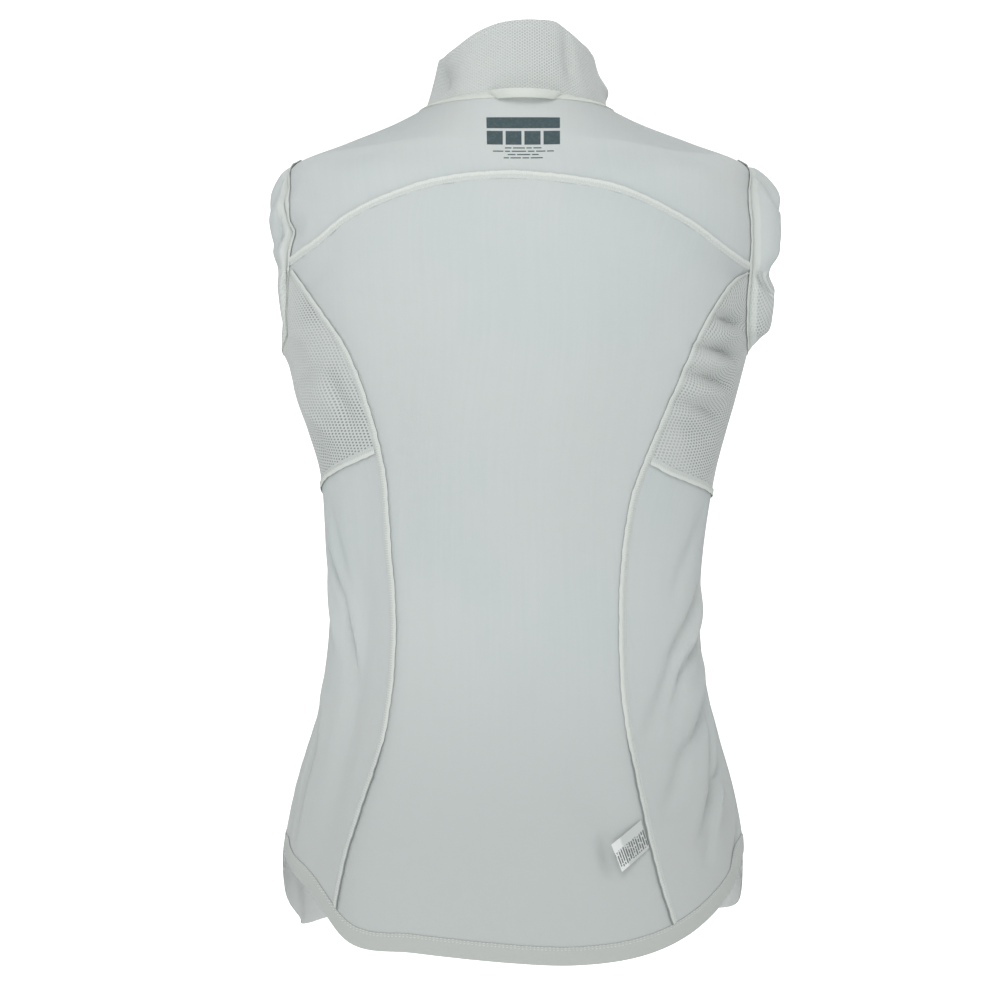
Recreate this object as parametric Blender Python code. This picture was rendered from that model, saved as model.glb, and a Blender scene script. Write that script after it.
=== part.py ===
"""Women's zip-front golf jacket, turned inside out and filled out as if worn, its sleeves pushed inside.

Metres, +Z up. The back faces -Y, so +X is on the right when the back is looked at. The origin is the
middle of the shoulder line, where a wearer carries the garment. A place on the cloth is a pair: its
turn in degrees round the body (0 centre back, +90 right side seam line, 180 centre front) and its
level, which is the height of the ring it lies on, taken at the centre back.
"""

import math
from collections import namedtuple

import bmesh
import bpy
from mathutils import Vector

# --- cloth and trim thicknesses ---------------------------------------------------------------
KNIT_WALL = 0.0012
MESH_WALL = 0.0012
COLLAR_WALL = 0.0010
TRIM_WALL = 0.0010
SEAM_GAP = 0.0003
LIFT = 0.0003               # from a panel up to what lies on it
RING_LIFT = 0.0005          # for strips that cross from one panel to the next

# --- trim sizes ------------------------------------------------------------------------------
ALLOWANCE = 0.0055          # overlocked seam allowance, pressed to one side
HEM_DEPTH = 0.0140
NECK_TAPE = 0.0060
FRONT_EDGE = 0.0060         # front panel edge from the centre front
TAPE_EDGE = 0.0015          # zip tape edge from the centre front
TAPE_WIDTH = 0.0125
TAPE_WALL = 0.0008
AT_ARMHOLE = 0.0090         # where strips stop short of the armhole allowance
BESIDE = 0.0004             # where a strip stops short of another one
SHORTEST_CELL = 0.0010      # of a strip, at its cut ends

# --- body rings, hem to neck seam -------------------------------------------------------------
NECK_LEVEL = 0.0142
TIP_LEVEL = -0.0500         # ring that the shoulder tips lie on
BodyRing = namedtuple("BodyRing", "level rise_side rise_front left right back front square")
BODY_RINGS = [
    BodyRing(-0.6600, 0.0000, 0.0000, 0.1860, 0.1800, 0.1260, 0.1150, 2.40),
    BodyRing(-0.6120, 0.0000, 0.0000, 0.1840, 0.1780, 0.1240, 0.1140, 2.40),
    BodyRing(-0.5690, 0.0000, 0.0000, 0.1820, 0.1750, 0.1200, 0.1130, 2.40),
    BodyRing(-0.5220, 0.0000, 0.0000, 0.1724, 0.1669, 0.1130, 0.1100, 2.40),
    BodyRing(-0.4760, 0.0000, 0.0000, 0.1590, 0.1568, 0.1030, 0.1060, 2.40),
    BodyRing(-0.4290, 0.0000, 0.0000, 0.1498, 0.1460, 0.0930, 0.1020, 2.40),
    BodyRing(-0.3820, 0.0000, 0.0000, 0.1459, 0.1427, 0.0890, 0.1040, 2.40),
    BodyRing(-0.3350, 0.0000, 0.0000, 0.1490, 0.1450, 0.0920, 0.1140, 2.40),
    BodyRing(-0.2770, 0.0000, 0.0000, 0.1530, 0.1540, 0.1030, 0.1300, 2.40),
    BodyRing(-0.2420, 0.0000, 0.0000, 0.1630, 0.1630, 0.1100, 0.1350, 2.40),
    BodyRing(-0.2180, 0.0000, 0.0000, 0.1716, 0.1700, 0.1140, 0.1330, 2.40),
    BodyRing(-0.1830, 0.0000, 0.0000, 0.1800, 0.1790, 0.1170, 0.1210, 2.40),
    BodyRing(-0.1500, 0.0000, 0.0000, 0.1850, 0.1840, 0.1170, 0.1070, 2.40),
    BodyRing(-0.1180, 0.0000, 0.0000, 0.1870, 0.1880, 0.1140, 0.0950, 2.40),
    BodyRing(-0.0900, 0.0080, -0.0100, 0.1865, 0.1875, 0.1090, 0.0855, 2.40),
    BodyRing(-0.0700, 0.0120, -0.0200, 0.1810, 0.1830, 0.1040, 0.0815, 2.40),
    BodyRing(-0.0500, 0.0140, -0.0320, 0.1725, 0.1765, 0.0980, 0.0785, 2.40),
    BodyRing(-0.0300, 0.0096, -0.0460, 0.1350, 0.1380, 0.0900, 0.0755, 2.35),
    BodyRing(-0.0080, 0.0022, -0.0580, 0.0980, 0.0985, 0.0800, 0.0730, 2.25),
    BodyRing(NECK_LEVEL, -0.0067, -0.0742, 0.0713, 0.0703, 0.0690, 0.0710, 2.15),
]

# --- seams: rows of turn and level, each from the hem up or from the back round to the front -----
Spot = namedtuple("Spot", "turn level")
HEM = [
    Spot(-180, -0.632), Spot(-150, -0.630), Spot(-130, -0.631), Spot(-120, -0.634), Spot(-112, -0.631),
    Spot(-106, -0.621), Spot(-100, -0.605), Spot(-94, -0.582), Spot(-88, -0.567), Spot(-80, -0.566),
    Spot(-67, -0.578), Spot(-54, -0.594), Spot(-40, -0.629), Spot(-24, -0.634), Spot(0, -0.641),
    Spot(14, -0.6425), Spot(28, -0.638), Spot(40, -0.627), Spot(53, -0.608), Spot(72, -0.578),
    Spot(80, -0.571), Spot(87, -0.570), Spot(94, -0.585), Spot(100, -0.604), Spot(107, -0.615),
    Spot(120, -0.622), Spot(145, -0.627), Spot(180, -0.632),
]
PRINCESS_LEFT = [
    Spot(46.3, -0.6130), Spot(42.6, -0.5534), Spot(39.8, -0.5101), Spot(38.2, -0.4720),
    Spot(38.0, -0.4295), Spot(38.9, -0.3640), Spot(39.7, -0.3100), Spot(40.2, -0.2560),
    Spot(40.9, -0.2177), Spot(44.3, -0.1830), Spot(52.0, -0.1520), Spot(61.0, -0.1275), Spot(65.0, -0.1190),
]
PRINCESS_RIGHT = [
    Spot(40.9, -0.6215), Spot(36.4, -0.5830), Spot(34.2, -0.5476), Spot(32.0, -0.4717),
    Spot(32.7, -0.4100), Spot(33.3, -0.3430), Spot(34.6, -0.2950), Spot(37.6, -0.2640),
    Spot(42.9, -0.2095), Spot(46.5, -0.1765), Spot(51.6, -0.1500), Spot(58.5, -0.1295), Spot(68.5, -0.1210),
]
MESH_CORNER_ROW = 7         # row of both princess seams where the mesh panel ends
YOKE_SEAM = [
    Spot(-65.0, -0.1190), Spot(-58.0, -0.1135), Spot(-49.4, -0.1046), Spot(-40.0, -0.0882),
    Spot(-29.4, -0.0723), Spot(-17.4, -0.0599), Spot(-1.9, -0.0547), Spot(13.4, -0.0595),
    Spot(25.2, -0.0689), Spot(37.4, -0.0880), Spot(50.6, -0.1085), Spot(60.0, -0.1175), Spot(68.5, -0.1210),
]
MESH_SEAM_LEFT = [
    Spot(40.2, -0.2560), Spot(51.3, -0.2646), Spot(77.3, -0.2795), Spot(95.0, -0.2855), Spot(110.0, -0.2875),
]
MESH_SEAM_RIGHT = [
    Spot(37.6, -0.2640), Spot(47.2, -0.2738), Spot(68.9, -0.2842), Spot(90.0, -0.2885), Spot(110.0, -0.2895),
]
SIDE_SEAM = [
    Spot(112.0, None), Spot(111.0, -0.4500), Spot(110.0, None), Spot(111.0, -0.2200), Spot(113.0, -0.1500),
]
SIDE_MESH_ROW = 2           # row of the side seam where the mesh panel ends
ARMHOLE_LEFT = [
    Spot(90, TIP_LEVEL), Spot(79, -0.0575), Spot(70, -0.0760), Spot(66, -0.0980), Spot(65, -0.1190),
    Spot(67, -0.1430), Spot(73, -0.1680), Spot(90, -0.1810), Spot(104, -0.1700), Spot(113, -0.1500),
    Spot(117, -0.1240), Spot(115, -0.0980), Spot(109, -0.0740), Spot(100, -0.0575), Spot(90, TIP_LEVEL),
]
ARMHOLE_RIGHT = [
    Spot(90, TIP_LEVEL), Spot(80, -0.0575), Spot(72, -0.0760), Spot(69, -0.0980), Spot(68.5, -0.1210),
    Spot(69.5, -0.1430), Spot(74, -0.1680), Spot(90, -0.1810), Spot(104, -0.1700), Spot(113, -0.1500),
    Spot(117, -0.1240), Spot(115, -0.0980), Spot(109, -0.0740), Spot(100, -0.0575), Spot(90, TIP_LEVEL),
]
YOKE_CORNER_ROW = 4
SIDE_CORNER_ROW = 9

# --- soft folds in the cloth: a ridge (+) or trough (-) along a line --------------------------
Fold = namedtuple("Fold", "turn_from level_from turn_to level_to spread height")
FOLDS = [
    Fold(92, -0.375, 52, -0.500, 0.013, -0.0030),
    Fold(96, -0.415, 60, -0.575, 0.014, -0.0035),
    Fold(76, -0.420, 45, -0.560, 0.012, 0.0020),
    Fold(104, -0.470, 80, -0.590, 0.014, 0.0025),
    Fold(-50, -0.335, -44, -0.450, 0.014, -0.0025),
    Fold(-78, -0.460, -58, -0.590, 0.014, 0.0025),
    Fold(-92, -0.440, -72, -0.570, 0.013, -0.0030),
    Fold(52, -0.182, 88, -0.205, 0.011, -0.0030),
    Fold(48, -0.226, 80, -0.240, 0.011, -0.0030),
    Fold(-88, -0.160, -58, -0.190, 0.011, -0.0030),
    Fold(-80, -0.235, -50, -0.215, 0.012, 0.0022),
    Fold(128, -0.300, 118, -0.480, 0.016, -0.0030),
    Fold(-128, -0.300, -118, -0.480, 0.016, -0.0030),
    Fold(150, -0.420, 140, -0.620, 0.018, 0.0030),
    Fold(-150, -0.420, -140, -0.620, 0.018, 0.0030),
    Fold(-109, -0.575, -109, -0.700, 0.016, -0.0085),
    Fold(120, -0.150, 150, -0.220, 0.016, -0.0030),
    Fold(-120, -0.150, -150, -0.220, 0.016, -0.0030),
]
METRES_PER_DEGREE = 0.0026  # round the body, for measuring across seams and folds

# --- stand collar: its top edge ---------------------------------------------------------------
CollarTop = namedtuple("CollarTop", "turn height")
COLLAR_TOP = [
    CollarTop(-180, -0.0060), CollarTop(-150, 0.0040), CollarTop(-120, 0.0240), CollarTop(-90, 0.0440),
    CollarTop(-70, 0.0465), CollarTop(-50, 0.0515), CollarTop(-30, 0.0615), CollarTop(-15, 0.0672),
    CollarTop(0, 0.0697), CollarTop(15, 0.0702), CollarTop(30, 0.0688), CollarTop(50, 0.0575),
    CollarTop(70, 0.0510), CollarTop(90, 0.0450), CollarTop(120, 0.0240), CollarTop(150, 0.0040),
    CollarTop(180, -0.0060),
]
COLLAR_LEFT = 0.0615        # half widths and depths of the top edge
COLLAR_RIGHT = 0.0605
COLLAR_BACK = 0.0610
COLLAR_FRONT = 0.0660
COLLAR_SQUARE = 2.1
Dent = namedtuple("Dent", "turn rise turn_spread rise_spread height")
COLLAR_DENTS = [
    Dent(-54, 0.35, 10, 0.33, -0.0055),
    Dent(-80, 0.45, 12, 0.40, 0.0020),
    Dent(96, 0.42, 16, 0.20, 0.0055),
    Dent(50, 0.55, 14, 0.35, -0.0020),
]

# --- sleeve: the lip that rolls out of the armhole, then the tube that hangs inside -------------
# out: beyond the armhole; across and tall: the armhole loop's share that is left; drop: downwards
Lip = namedtuple("Lip", "out across tall drop")
SLEEVE_LIP = [
    Lip(0.0100, 1.010, 0.980, 0.000),
    Lip(0.0195, 0.985, 0.895, 0.001),
    Lip(0.0270, 0.905, 0.785, 0.003),
    Lip(0.0260, 0.815, 0.705, 0.004),
    Lip(0.0150, 0.745, 0.655, 0.005),
    Lip(-0.0040, 0.710, 0.640, 0.006),
]
LipShare = namedtuple("LipShare", "angle left right")
LIP_SHARES = [              # how far the lip stands out round the armhole, 0 at the shoulder tip
    LipShare(0, 0.55, 0.92), LipShare(60, 0.47, 0.87), LipShare(90, 0.40, 0.80), LipShare(120, 0.22, 0.72),
    LipShare(150, 0.12, 0.60), LipShare(165, 0.10, 0.32), LipShare(180, 0.10, 0.20),
]
LIP_PINCH = 0.0090          # the sleeve's own seams draw the lip in
ARMHOLE_MIDDLE = 0.0000     # Y of the lip's middle
TUBE_MIDDLE = 0.0050        # Y of the hanging tube's middle
TUBE_SETTLES = 4            # rings it takes from the one to the other
Tube = namedtuple("Tube", "inner_x inner_z outer_x outer_z half_width")
SLEEVE_TUBE = [
    Tube(0.150, -0.0665, 0.160, -0.163, 0.036),
    Tube(0.128, -0.0745, 0.158, -0.173, 0.041),
    Tube(0.110, -0.0940, 0.157, -0.186, 0.048),
    Tube(0.100, -0.1250, 0.157, -0.204, 0.056),
    Tube(0.097, -0.1650, 0.155, -0.229, 0.061),
    Tube(0.095, -0.2100, 0.149, -0.262, 0.063),
    Tube(0.091, -0.2600, 0.137, -0.300, 0.061),
    Tube(0.087, -0.3100, 0.127, -0.340, 0.058),
    Tube(0.085, -0.3600, 0.122, -0.380, 0.055),
    Tube(0.086, -0.4100, 0.122, -0.420, 0.053),
    Tube(0.091, -0.4600, 0.126, -0.465, 0.051),
    Tube(0.098, -0.5100, 0.133, -0.512, 0.049),
    Tube(0.105, -0.5520, 0.139, -0.552, 0.047),
]
Length = namedtuple("Length", "name first_ring last_ring")
SLEEVE_LENGTHS = [          # each cut piece of a sleeve is made in four lengths, so that none bends much
    Length("lip", 0, 8), Length("upper", 8, 11), Length("elbow", 11, 14), Length("forearm", 14, 19),
]

# --- hanger loop and care label, on the outside of the back --------------------------------------
LOOP_TOP = (-18.1, 28.0)    # turns of the ends of its two long edges
LOOP_BOTTOM = (-10.7, 19.9)
LOOP_BOTTOM_LEVEL = 0.0072
LOOP_SEAT = LIFT + TRIM_WALL + LIFT
LOOP_BOW_BOTTOM = 0.0070    # how far the middle of each long edge stands off the neck tape
LOOP_BOW_TOP = 0.0100
LOOP_BOW_BLUNTNESS = 0.7
LABEL_CORNERS = (Spot(31.1, -0.5361), Spot(32.6, -0.5569), Spot(24.8, -0.5739), Spot(22.7, -0.5538))
LABEL_SEAT = 0.0007
LABEL_RISE = 0.0045
LABEL_CURL = 1.6            # how late the rise comes, towards the free end
LABEL_TWIST = 0.4           # share of the rise that its top corner lacks

# --- zip slider and pull tab ----------------------------------------------------------------------
SLIDER_RISE = 0.80          # share of the collar's height that the slider sits at
SLIDER_LENGTH = 0.0100
SLIDER_HALF_WIDTH = 0.0045
SLIDER_PLATE = 0.0010
SLIDER_CLEARANCE = 0.0009
POST_HALF_WIDTH = 0.0008
BRIDGE_HALF_WIDTH = 0.0008
BRIDGE_HALF_LENGTH = 0.0030
BRIDGE_HOLLOW_HALF_LENGTH = 0.0018
BRIDGE_HOLLOW = 0.0026
BRIDGE_WALL = 0.0010
TAB_HALF_WIDTH = 0.0032
TAB_EYE_HALF_WIDTH = 0.0017
TAB_BAR = 0.0006            # half the thickness of the tab and of its eye's bar
TAB_EYE_LENGTH = 0.0044
TAB_LENGTH = 0.0250
TAB_WAIST_AT = 0.0138
TAB_WAIST_HALF_WIDTH = 0.0022

# --- how finely the cloth is divided --------------------------------------------------------------
BACK_COLUMNS = 18
SIDE_COLUMNS = 11
FRONT_COLUMNS = 9
LOWER_ROWS = 13
MESH_ROWS = 6
ARMHOLE_BACK_ROWS = 4
ARMHOLE_FRONT_ROWS = 5
SHOULDER_ROWS = 3
COLLAR_ROWS = 4
LOOP_COLUMNS = 12
LOOP_ROWS = 2
LABEL_COLUMNS = 5
LABEL_ROWS = 4

SOFT_ANGLE = 40             # degrees up to which an edge is shaded smooth
HARD_ANGLE = 20

Finish = namedtuple("Finish", "colour roughness metallic")
FINISHES = {
    "white_knit": Finish((0.72, 0.75, 0.74), 0.75, 0.0),
    "white_mesh": Finish((0.74, 0.76, 0.74), 0.80, 0.0),
    "cream_trim": Finish((0.80, 0.80, 0.76), 0.70, 0.0),
    "white_satin": Finish((0.86, 0.87, 0.86), 0.40, 0.0),
    "white_zip": Finish((0.82, 0.82, 0.80), 0.35, 0.0),
}

Station = namedtuple("Station", "edge inward edge_normal inward_normal")


# --- smooth tables and lines ----------------------------------------------------------------------
def smooth(places, values, at):
    """Value at a place on the smooth curve through the table, held level beyond its ends."""
    if at <= places[0]:
        return values[0]
    if at >= places[-1]:
        return values[-1]
    i = max(k for k in range(len(places) - 1) if places[k] <= at)

    def slope(k):
        before, after = max(k - 1, 0), min(k + 1, len(places) - 1)
        return (values[after] - values[before]) / (places[after] - places[before])

    span = places[i + 1] - places[i]
    t = (at - places[i]) / span
    return ((1 + 2 * t) * (1 - t) ** 2 * values[i] + t * (1 - t) ** 2 * span * slope(i)
            + t * t * (3 - 2 * t) * values[i + 1] + t * t * (t - 1) * span * slope(i + 1))


def column(rows, name):
    return [getattr(row, name) for row in rows]


def hem_level(turn):
    return smooth(column(HEM, "turn"), column(HEM, "level"), turn)


def distances(spots):
    """Distance along a line of spots, from 0 at its start."""
    total = [0.0]
    for a, b in zip(spots, spots[1:]):
        total.append(total[-1] + math.hypot((b.turn - a.turn) * METRES_PER_DEGREE, b.level - a.level))
    return total


def sample(spots, first_row, last_row, count):
    """Evenly spaced spots along the smooth line, from one of its rows to another, either way round."""
    along = distances(spots)
    turns, levels = column(spots, "turn"), column(spots, "level")
    start, end = along[first_row], along[last_row]
    line = []
    for k in range(count + 1):
        at = start + (end - start) * k / count
        line.append(Spot(smooth(along, turns, at), smooth(along, levels, at)))
    return line


def straight(a, b, count):
    return [Spot(a.turn + (b.turn - a.turn) * k / count, a.level + (b.level - a.level) * k / count)
            for k in range(count + 1)]


def join(*lines):
    whole = list(lines[0])
    for line in lines[1:]:
        whole += line[1:]
    return whole


def mirrored(line):
    return [Spot(-spot.turn, spot.level) for spot in line]


# --- the body's surface ---------------------------------------------------------------------------
def squared(turn, square):
    """Sine and cosine on a rounded square instead of a circle."""
    s, c = math.sin(math.radians(turn)), math.cos(math.radians(turn))
    reach = (abs(s) ** square + abs(c) ** square) ** (-1 / square)
    return s * reach, c * reach


def bare_skin(turn, level):
    """Point of the body's surface, without the folds."""
    ring = BodyRing(*(smooth(column(BODY_RINGS, "level"), column(BODY_RINGS, name), level)
                      for name in BodyRing._fields))
    s, c = squared(turn, ring.square)
    half_width = ring.right if s > 0 else ring.left
    depth = ring.back if c > 0 else ring.front
    rise_middle = 0.0 if c > 0 else ring.rise_front
    share = math.cos(math.radians(turn)) ** 2
    height = level + ring.rise_side + (rise_middle - ring.rise_side) * share
    return Vector((half_width * s, -depth * c, height))


def fold_height(turn, level):
    total = 0.0
    for fold in FOLDS:
        start = Vector((fold.turn_from * METRES_PER_DEGREE, fold.level_from))
        run = Vector((fold.turn_to * METRES_PER_DEGREE, fold.level_to)) - start
        here = Vector((turn * METRES_PER_DEGREE, level)) - start
        along = here.dot(run) / run.length_squared
        if 0 < along < 1:
            across = abs(here.x * run.y - here.y * run.x) / run.length
            total += fold.height * math.sin(math.pi * along) * math.exp(-(across / fold.spread) ** 2)
    return total


def normal_of(surface, a, b, step_a, step_b, lowest_b, highest_b):
    """Outward direction of surface(a, b), from points on either side."""
    before, after = max(b - step_b, lowest_b), min(b + step_b, highest_b)
    across = surface(a + step_a, b) - surface(a - step_a, b)
    up = surface(a, after) - surface(a, before)
    return across.cross(up).normalized()


def skin_normal(turn, level):
    return normal_of(bare_skin, turn, level, 1.0, 0.002, BODY_RINGS[0].level, NECK_LEVEL)


def skin(turn, level):
    point = bare_skin(turn, level)
    height = fold_height(turn, level)
    return point + skin_normal(turn, level) * height if height else point


def collar(turn, rise):
    """Point of the collar's outer face: rise 0 at the neck seam, 1 at the top edge."""
    base = bare_skin(turn, NECK_LEVEL) + Vector((0, 0, SEAM_GAP))
    s, c = squared(turn, COLLAR_SQUARE)
    half_width = COLLAR_RIGHT if s > 0 else COLLAR_LEFT
    depth = COLLAR_BACK if c > 0 else COLLAR_FRONT
    top = Vector((half_width * s, -depth * c, smooth(column(COLLAR_TOP, "turn"),
                                                      column(COLLAR_TOP, "height"), turn)))
    point = base.lerp(top, rise)
    out = Vector((s, -c, 0)).normalized()
    for dent in COLLAR_DENTS:
        reach = ((turn - dent.turn) / dent.turn_spread) ** 2 + ((rise - dent.rise) / dent.rise_spread) ** 2
        fade = math.sin(math.pi * min(rise / (2 * dent.rise), 1.0) / 2) if rise < dent.rise else 1.0
        point += out * dent.height * fade * math.exp(-reach)
    return point


# --- solids ---------------------------------------------------------------------------------------
def finish_of(name):
    material = bpy.data.materials.get(name)
    if material is None:
        finish = FINISHES[name]
        material = bpy.data.materials.new(name)
        material.use_nodes = True
        shader = material.node_tree.nodes["Principled BSDF"]
        shader.inputs["Base Color"].default_value = (*finish.colour, 1.0)
        shader.inputs["Roughness"].default_value = finish.roughness
        shader.inputs["Metallic"].default_value = finish.metallic
    return material


def make_object(name, mesh, finish):
    mesh.materials.append(finish_of(finish))
    piece = bpy.data.objects.new(name, mesh)
    bpy.context.scene.collection.objects.link(piece)
    return piece


def solid(name, vertices, faces, finish, smooth_angle=SOFT_ANGLE):
    mesh = bpy.data.meshes.new(name)
    mesh.from_pydata([tuple(v) for v in vertices], [], faces)
    shape = bmesh.new()
    shape.from_mesh(mesh)
    bmesh.ops.recalc_face_normals(shape, faces=shape.faces)
    shape.to_mesh(mesh)
    shape.free()
    mesh.shade_smooth()
    mesh.set_sharp_from_angle(angle=math.radians(smooth_angle))
    return make_object(name, mesh, finish)


def halves(corners, places, out, raised):
    """Two triangles over a cell, split along its raised diagonal or along its sunken one."""
    a, b, c, d = (places[k] for k in corners)
    first_is_raised = (a + c - b - d).dot(out) > 0
    if first_is_raised == raised:
        return [(corners[0], corners[1], corners[2]), (corners[0], corners[2], corners[3])]
    return [(corners[1], corners[2], corners[3]), (corners[1], corners[3], corners[0])]


def wall(name, outer, inner, finish, ring=False, raised=False):
    """Closed wall between two grids of points; a ring's rows close on themselves.

    The cells along a panel's edges are split along their sunken diagonals and those of a strip along
    the raised ones, so that a strip never dips into the panel it lies on.
    """
    rows, columns = len(outer), len(outer[0])
    vertices = [p for row in outer for p in row] + [p for row in inner for p in row]
    back = rows * columns

    def at(j, i, side=0):
        return side + j * columns + i % columns

    faces = []
    spans = columns if ring else columns - 1
    for j in range(rows - 1):
        for i in range(spans):
            corners = (at(j, i), at(j, i + 1), at(j + 1, i + 1), at(j + 1, i))
            out = vertices[corners[0]] - vertices[back + corners[0]]
            at_edge = j in (0, rows - 2) or i in (0, spans - 1)
            cut = halves(corners, vertices, out, raised or not at_edge)
            faces += cut
            faces += [tuple(back + k for k in reversed(face)) for face in cut]
    for j in (0, rows - 1):
        for i in range(spans):
            faces.append((at(j, i), at(j, i, back), at(j, i + 1, back), at(j, i + 1)))
    if not ring:
        for i in (0, columns - 1):
            for j in range(rows - 1):
                faces.append((at(j, i), at(j + 1, i), at(j + 1, i, back), at(j, i, back)))
    return solid(name, vertices, faces, finish)


def moved(points, normals, distance):
    return [[p + n * distance for p, n in zip(*rows)] for rows in zip(points, normals)]


def drawn_in(points, distance):
    """The grid with its edge moved in, so that a seam gap is left."""
    grid = [list(row) for row in points]
    last_row, last_column = len(grid) - 1, len(grid[0]) - 1

    def pull(j, i, from_j, from_i):
        grid[j][i] = grid[j][i] + (points[from_j][from_i] - points[j][i]).normalized() * distance

    for i in range(last_column + 1):
        pull(0, i, 1, i)
        pull(last_row, i, last_row - 1, i)
    for j in range(last_row + 1):
        pull(j, 0, j, 1)
        pull(j, last_column, j, last_column - 1)
    return grid


def lengths_share(line):
    along = distances(line)
    return [d / along[-1] for d in along]


def levels_share(line):
    return [(spot.level - line[0].level) / (line[-1].level - line[0].level) for spot in line]


def fill(bottom, top, left, right):
    """Spots over a four-sided panel, blended from its edges; rows run from the bottom up."""
    us = [(a + b) / 2 for a, b in zip(lengths_share(bottom), lengths_share(top))]
    vs = [(a + b) / 2 for a, b in zip(levels_share(left), levels_share(right))]
    grid = []
    for j, v in enumerate(vs):
        row = []
        for i, u in enumerate(us):
            spot = []
            for k in (0, 1):
                edges = ((1 - v) * bottom[i][k] + v * top[i][k] + (1 - u) * left[j][k] + u * right[j][k])
                corners = ((1 - v) * ((1 - u) * bottom[0][k] + u * bottom[-1][k])
                           + v * ((1 - u) * top[0][k] + u * top[-1][k]))
                spot.append(edges - corners)
            row.append(Spot(*spot))
        grid.append(row)
    return grid


class Panel:
    """A cut panel: its points on the body, their directions, and its solid."""

    def __init__(self, name, bottom, top, left, right, thickness, finish):
        spots = fill(bottom, top, left, right)
        self.points = [[skin(*spot) for spot in row] for row in spots]
        self.normals = [[skin_normal(*spot) for spot in row] for row in spots]
        outer = drawn_in(self.points, SEAM_GAP / 2)
        wall(name, outer, moved(outer, self.normals, -thickness), finish)

    def station(self, j0, i0, j1, i1):
        """A place on the edge, looking towards another vertex of the panel."""
        return Station(self.points[j0][i0], self.points[j1][i1], self.normals[j0][i0], self.normals[j1][i1])

    def stations(self, side, first, last):
        """Stations along one edge, from one row or column to another, looking into the panel."""
        step = 1 if last >= first else -1
        picks = {"left": lambda k: ((k, 0), (k, 1)), "right": lambda k: ((k, -1), (k, -2)),
                 "bottom": lambda k: ((0, k), (1, k)), "top": lambda k: ((-1, k), (-2, k))}[side]
        return [self.station(*picks(k)[0], *picks(k)[1]) for k in range(first, last + step, step)]


def between(a, b, share):
    return Station(*(p.lerp(q, share) for p, q in zip(a, b)))


def trimmed(stations, start, end):
    """The stations without a given length at each end."""
    along = [0.0]
    for a, b in zip(stations, stations[1:]):
        along.append(along[-1] + (b.edge - a.edge).length)
    first, last = start, along[-1] - end

    def at(place):
        k = max(i for i in range(len(along) - 1) if along[i] <= place + 1e-9)
        return between(stations[k], stations[k + 1], (place - along[k]) / (along[k + 1] - along[k]))

    kept = [s for s, d in zip(stations, along) if first + SHORTEST_CELL < d < last - SHORTEST_CELL]
    return [at(first)] + kept + [at(last)]


def strip(name, stations, near, far, finish, lift=LIFT, thickness=TRIM_WALL, ring=False):
    """A flat band lying on a panel along its edge, made from the panel's points moved out."""
    rows, normals = [], []
    for reach in (near, far):
        line, directions = [], []
        for s in stations:
            inward = s.inward - s.edge
            share = reach / inward.length
            line.append(s.edge + inward * share)
            directions.append(s.edge_normal.lerp(s.inward_normal, max(share, 0.0)).normalized())
        rows.append(line)
        normals.append(directions)
    return wall(name, moved(rows, normals, lift + thickness), moved(rows, normals, lift), finish, ring,
                raised=True)


# --- seam lines shared by the panels ---------------------------------------------------------------
def front_edge(level):
    """Turn at which the front panel ends beside the zip."""
    half_width = smooth(column(BODY_RINGS, "level"), column(BODY_RINGS, "right"), level)
    return 180 - math.degrees(math.asin(FRONT_EDGE / half_width))


class SideSeams:
    """One side's seam lines as sampled spots, all with positive turns until placed."""

    def __init__(self, side):
        self.side = side
        right = side > 0
        princess = PRINCESS_RIGHT if right else PRINCESS_LEFT
        princess = [Spot(princess[0].turn, hem_level(side * princess[0].turn))] + princess[1:]
        mesh_seam = MESH_SEAM_RIGHT if right else MESH_SEAM_LEFT
        armhole = ARMHOLE_RIGHT if right else ARMHOLE_LEFT
        side_seam = list(SIDE_SEAM)
        side_seam[0] = Spot(SIDE_SEAM[0].turn, hem_level(side * SIDE_SEAM[0].turn))
        side_seam[SIDE_MESH_ROW] = Spot(SIDE_SEAM[SIDE_MESH_ROW].turn, mesh_seam[-1].level)
        last, last_hole = len(princess) - 1, len(armhole) - 1
        tip, neck = Spot(90, TIP_LEVEL), Spot(90, NECK_LEVEL)
        self.princess_low = self.placed(sample(princess, 0, MESH_CORNER_ROW, LOWER_ROWS))
        self.princess_high = self.placed(sample(princess, MESH_CORNER_ROW, last, MESH_ROWS))
        self.mesh_seam = self.placed(sample(mesh_seam, 0, len(mesh_seam) - 1, SIDE_COLUMNS))
        self.side_low = self.placed(sample(side_seam, 0, SIDE_MESH_ROW, LOWER_ROWS))
        self.side_high = self.placed(sample(side_seam, SIDE_MESH_ROW, len(side_seam) - 1, MESH_ROWS))
        self.hole_back = self.placed(sample(armhole, YOKE_CORNER_ROW, 0, ARMHOLE_BACK_ROWS))
        self.hole_under = self.placed(sample(armhole, YOKE_CORNER_ROW, SIDE_CORNER_ROW, SIDE_COLUMNS))
        self.hole_front = self.placed(sample(armhole, SIDE_CORNER_ROW, last_hole, ARMHOLE_FRONT_ROWS))
        self.shoulder = self.placed(straight(tip, neck, SHOULDER_ROWS))
        self.hem_side = self.along_hem(princess[0].turn, side_seam[0].turn, SIDE_COLUMNS)

    def placed(self, line):
        return line if self.side > 0 else mirrored(line)

    def along_hem(self, first, last, count):
        turns = [self.side * (first + (last - first) * k / count) for k in range(count + 1)]
        return [Spot(turn, hem_level(turn)) for turn in turns]


def back_yoke(left, right):
    bottom = sample(YOKE_SEAM, 0, len(YOKE_SEAM) - 1, BACK_COLUMNS)
    top = straight(Spot(-90, NECK_LEVEL), Spot(90, NECK_LEVEL), BACK_COLUMNS)
    return Panel("back_yoke", bottom, top, join(left.hole_back, left.shoulder),
                 join(right.hole_back, right.shoulder), KNIT_WALL, "white_knit")


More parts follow.
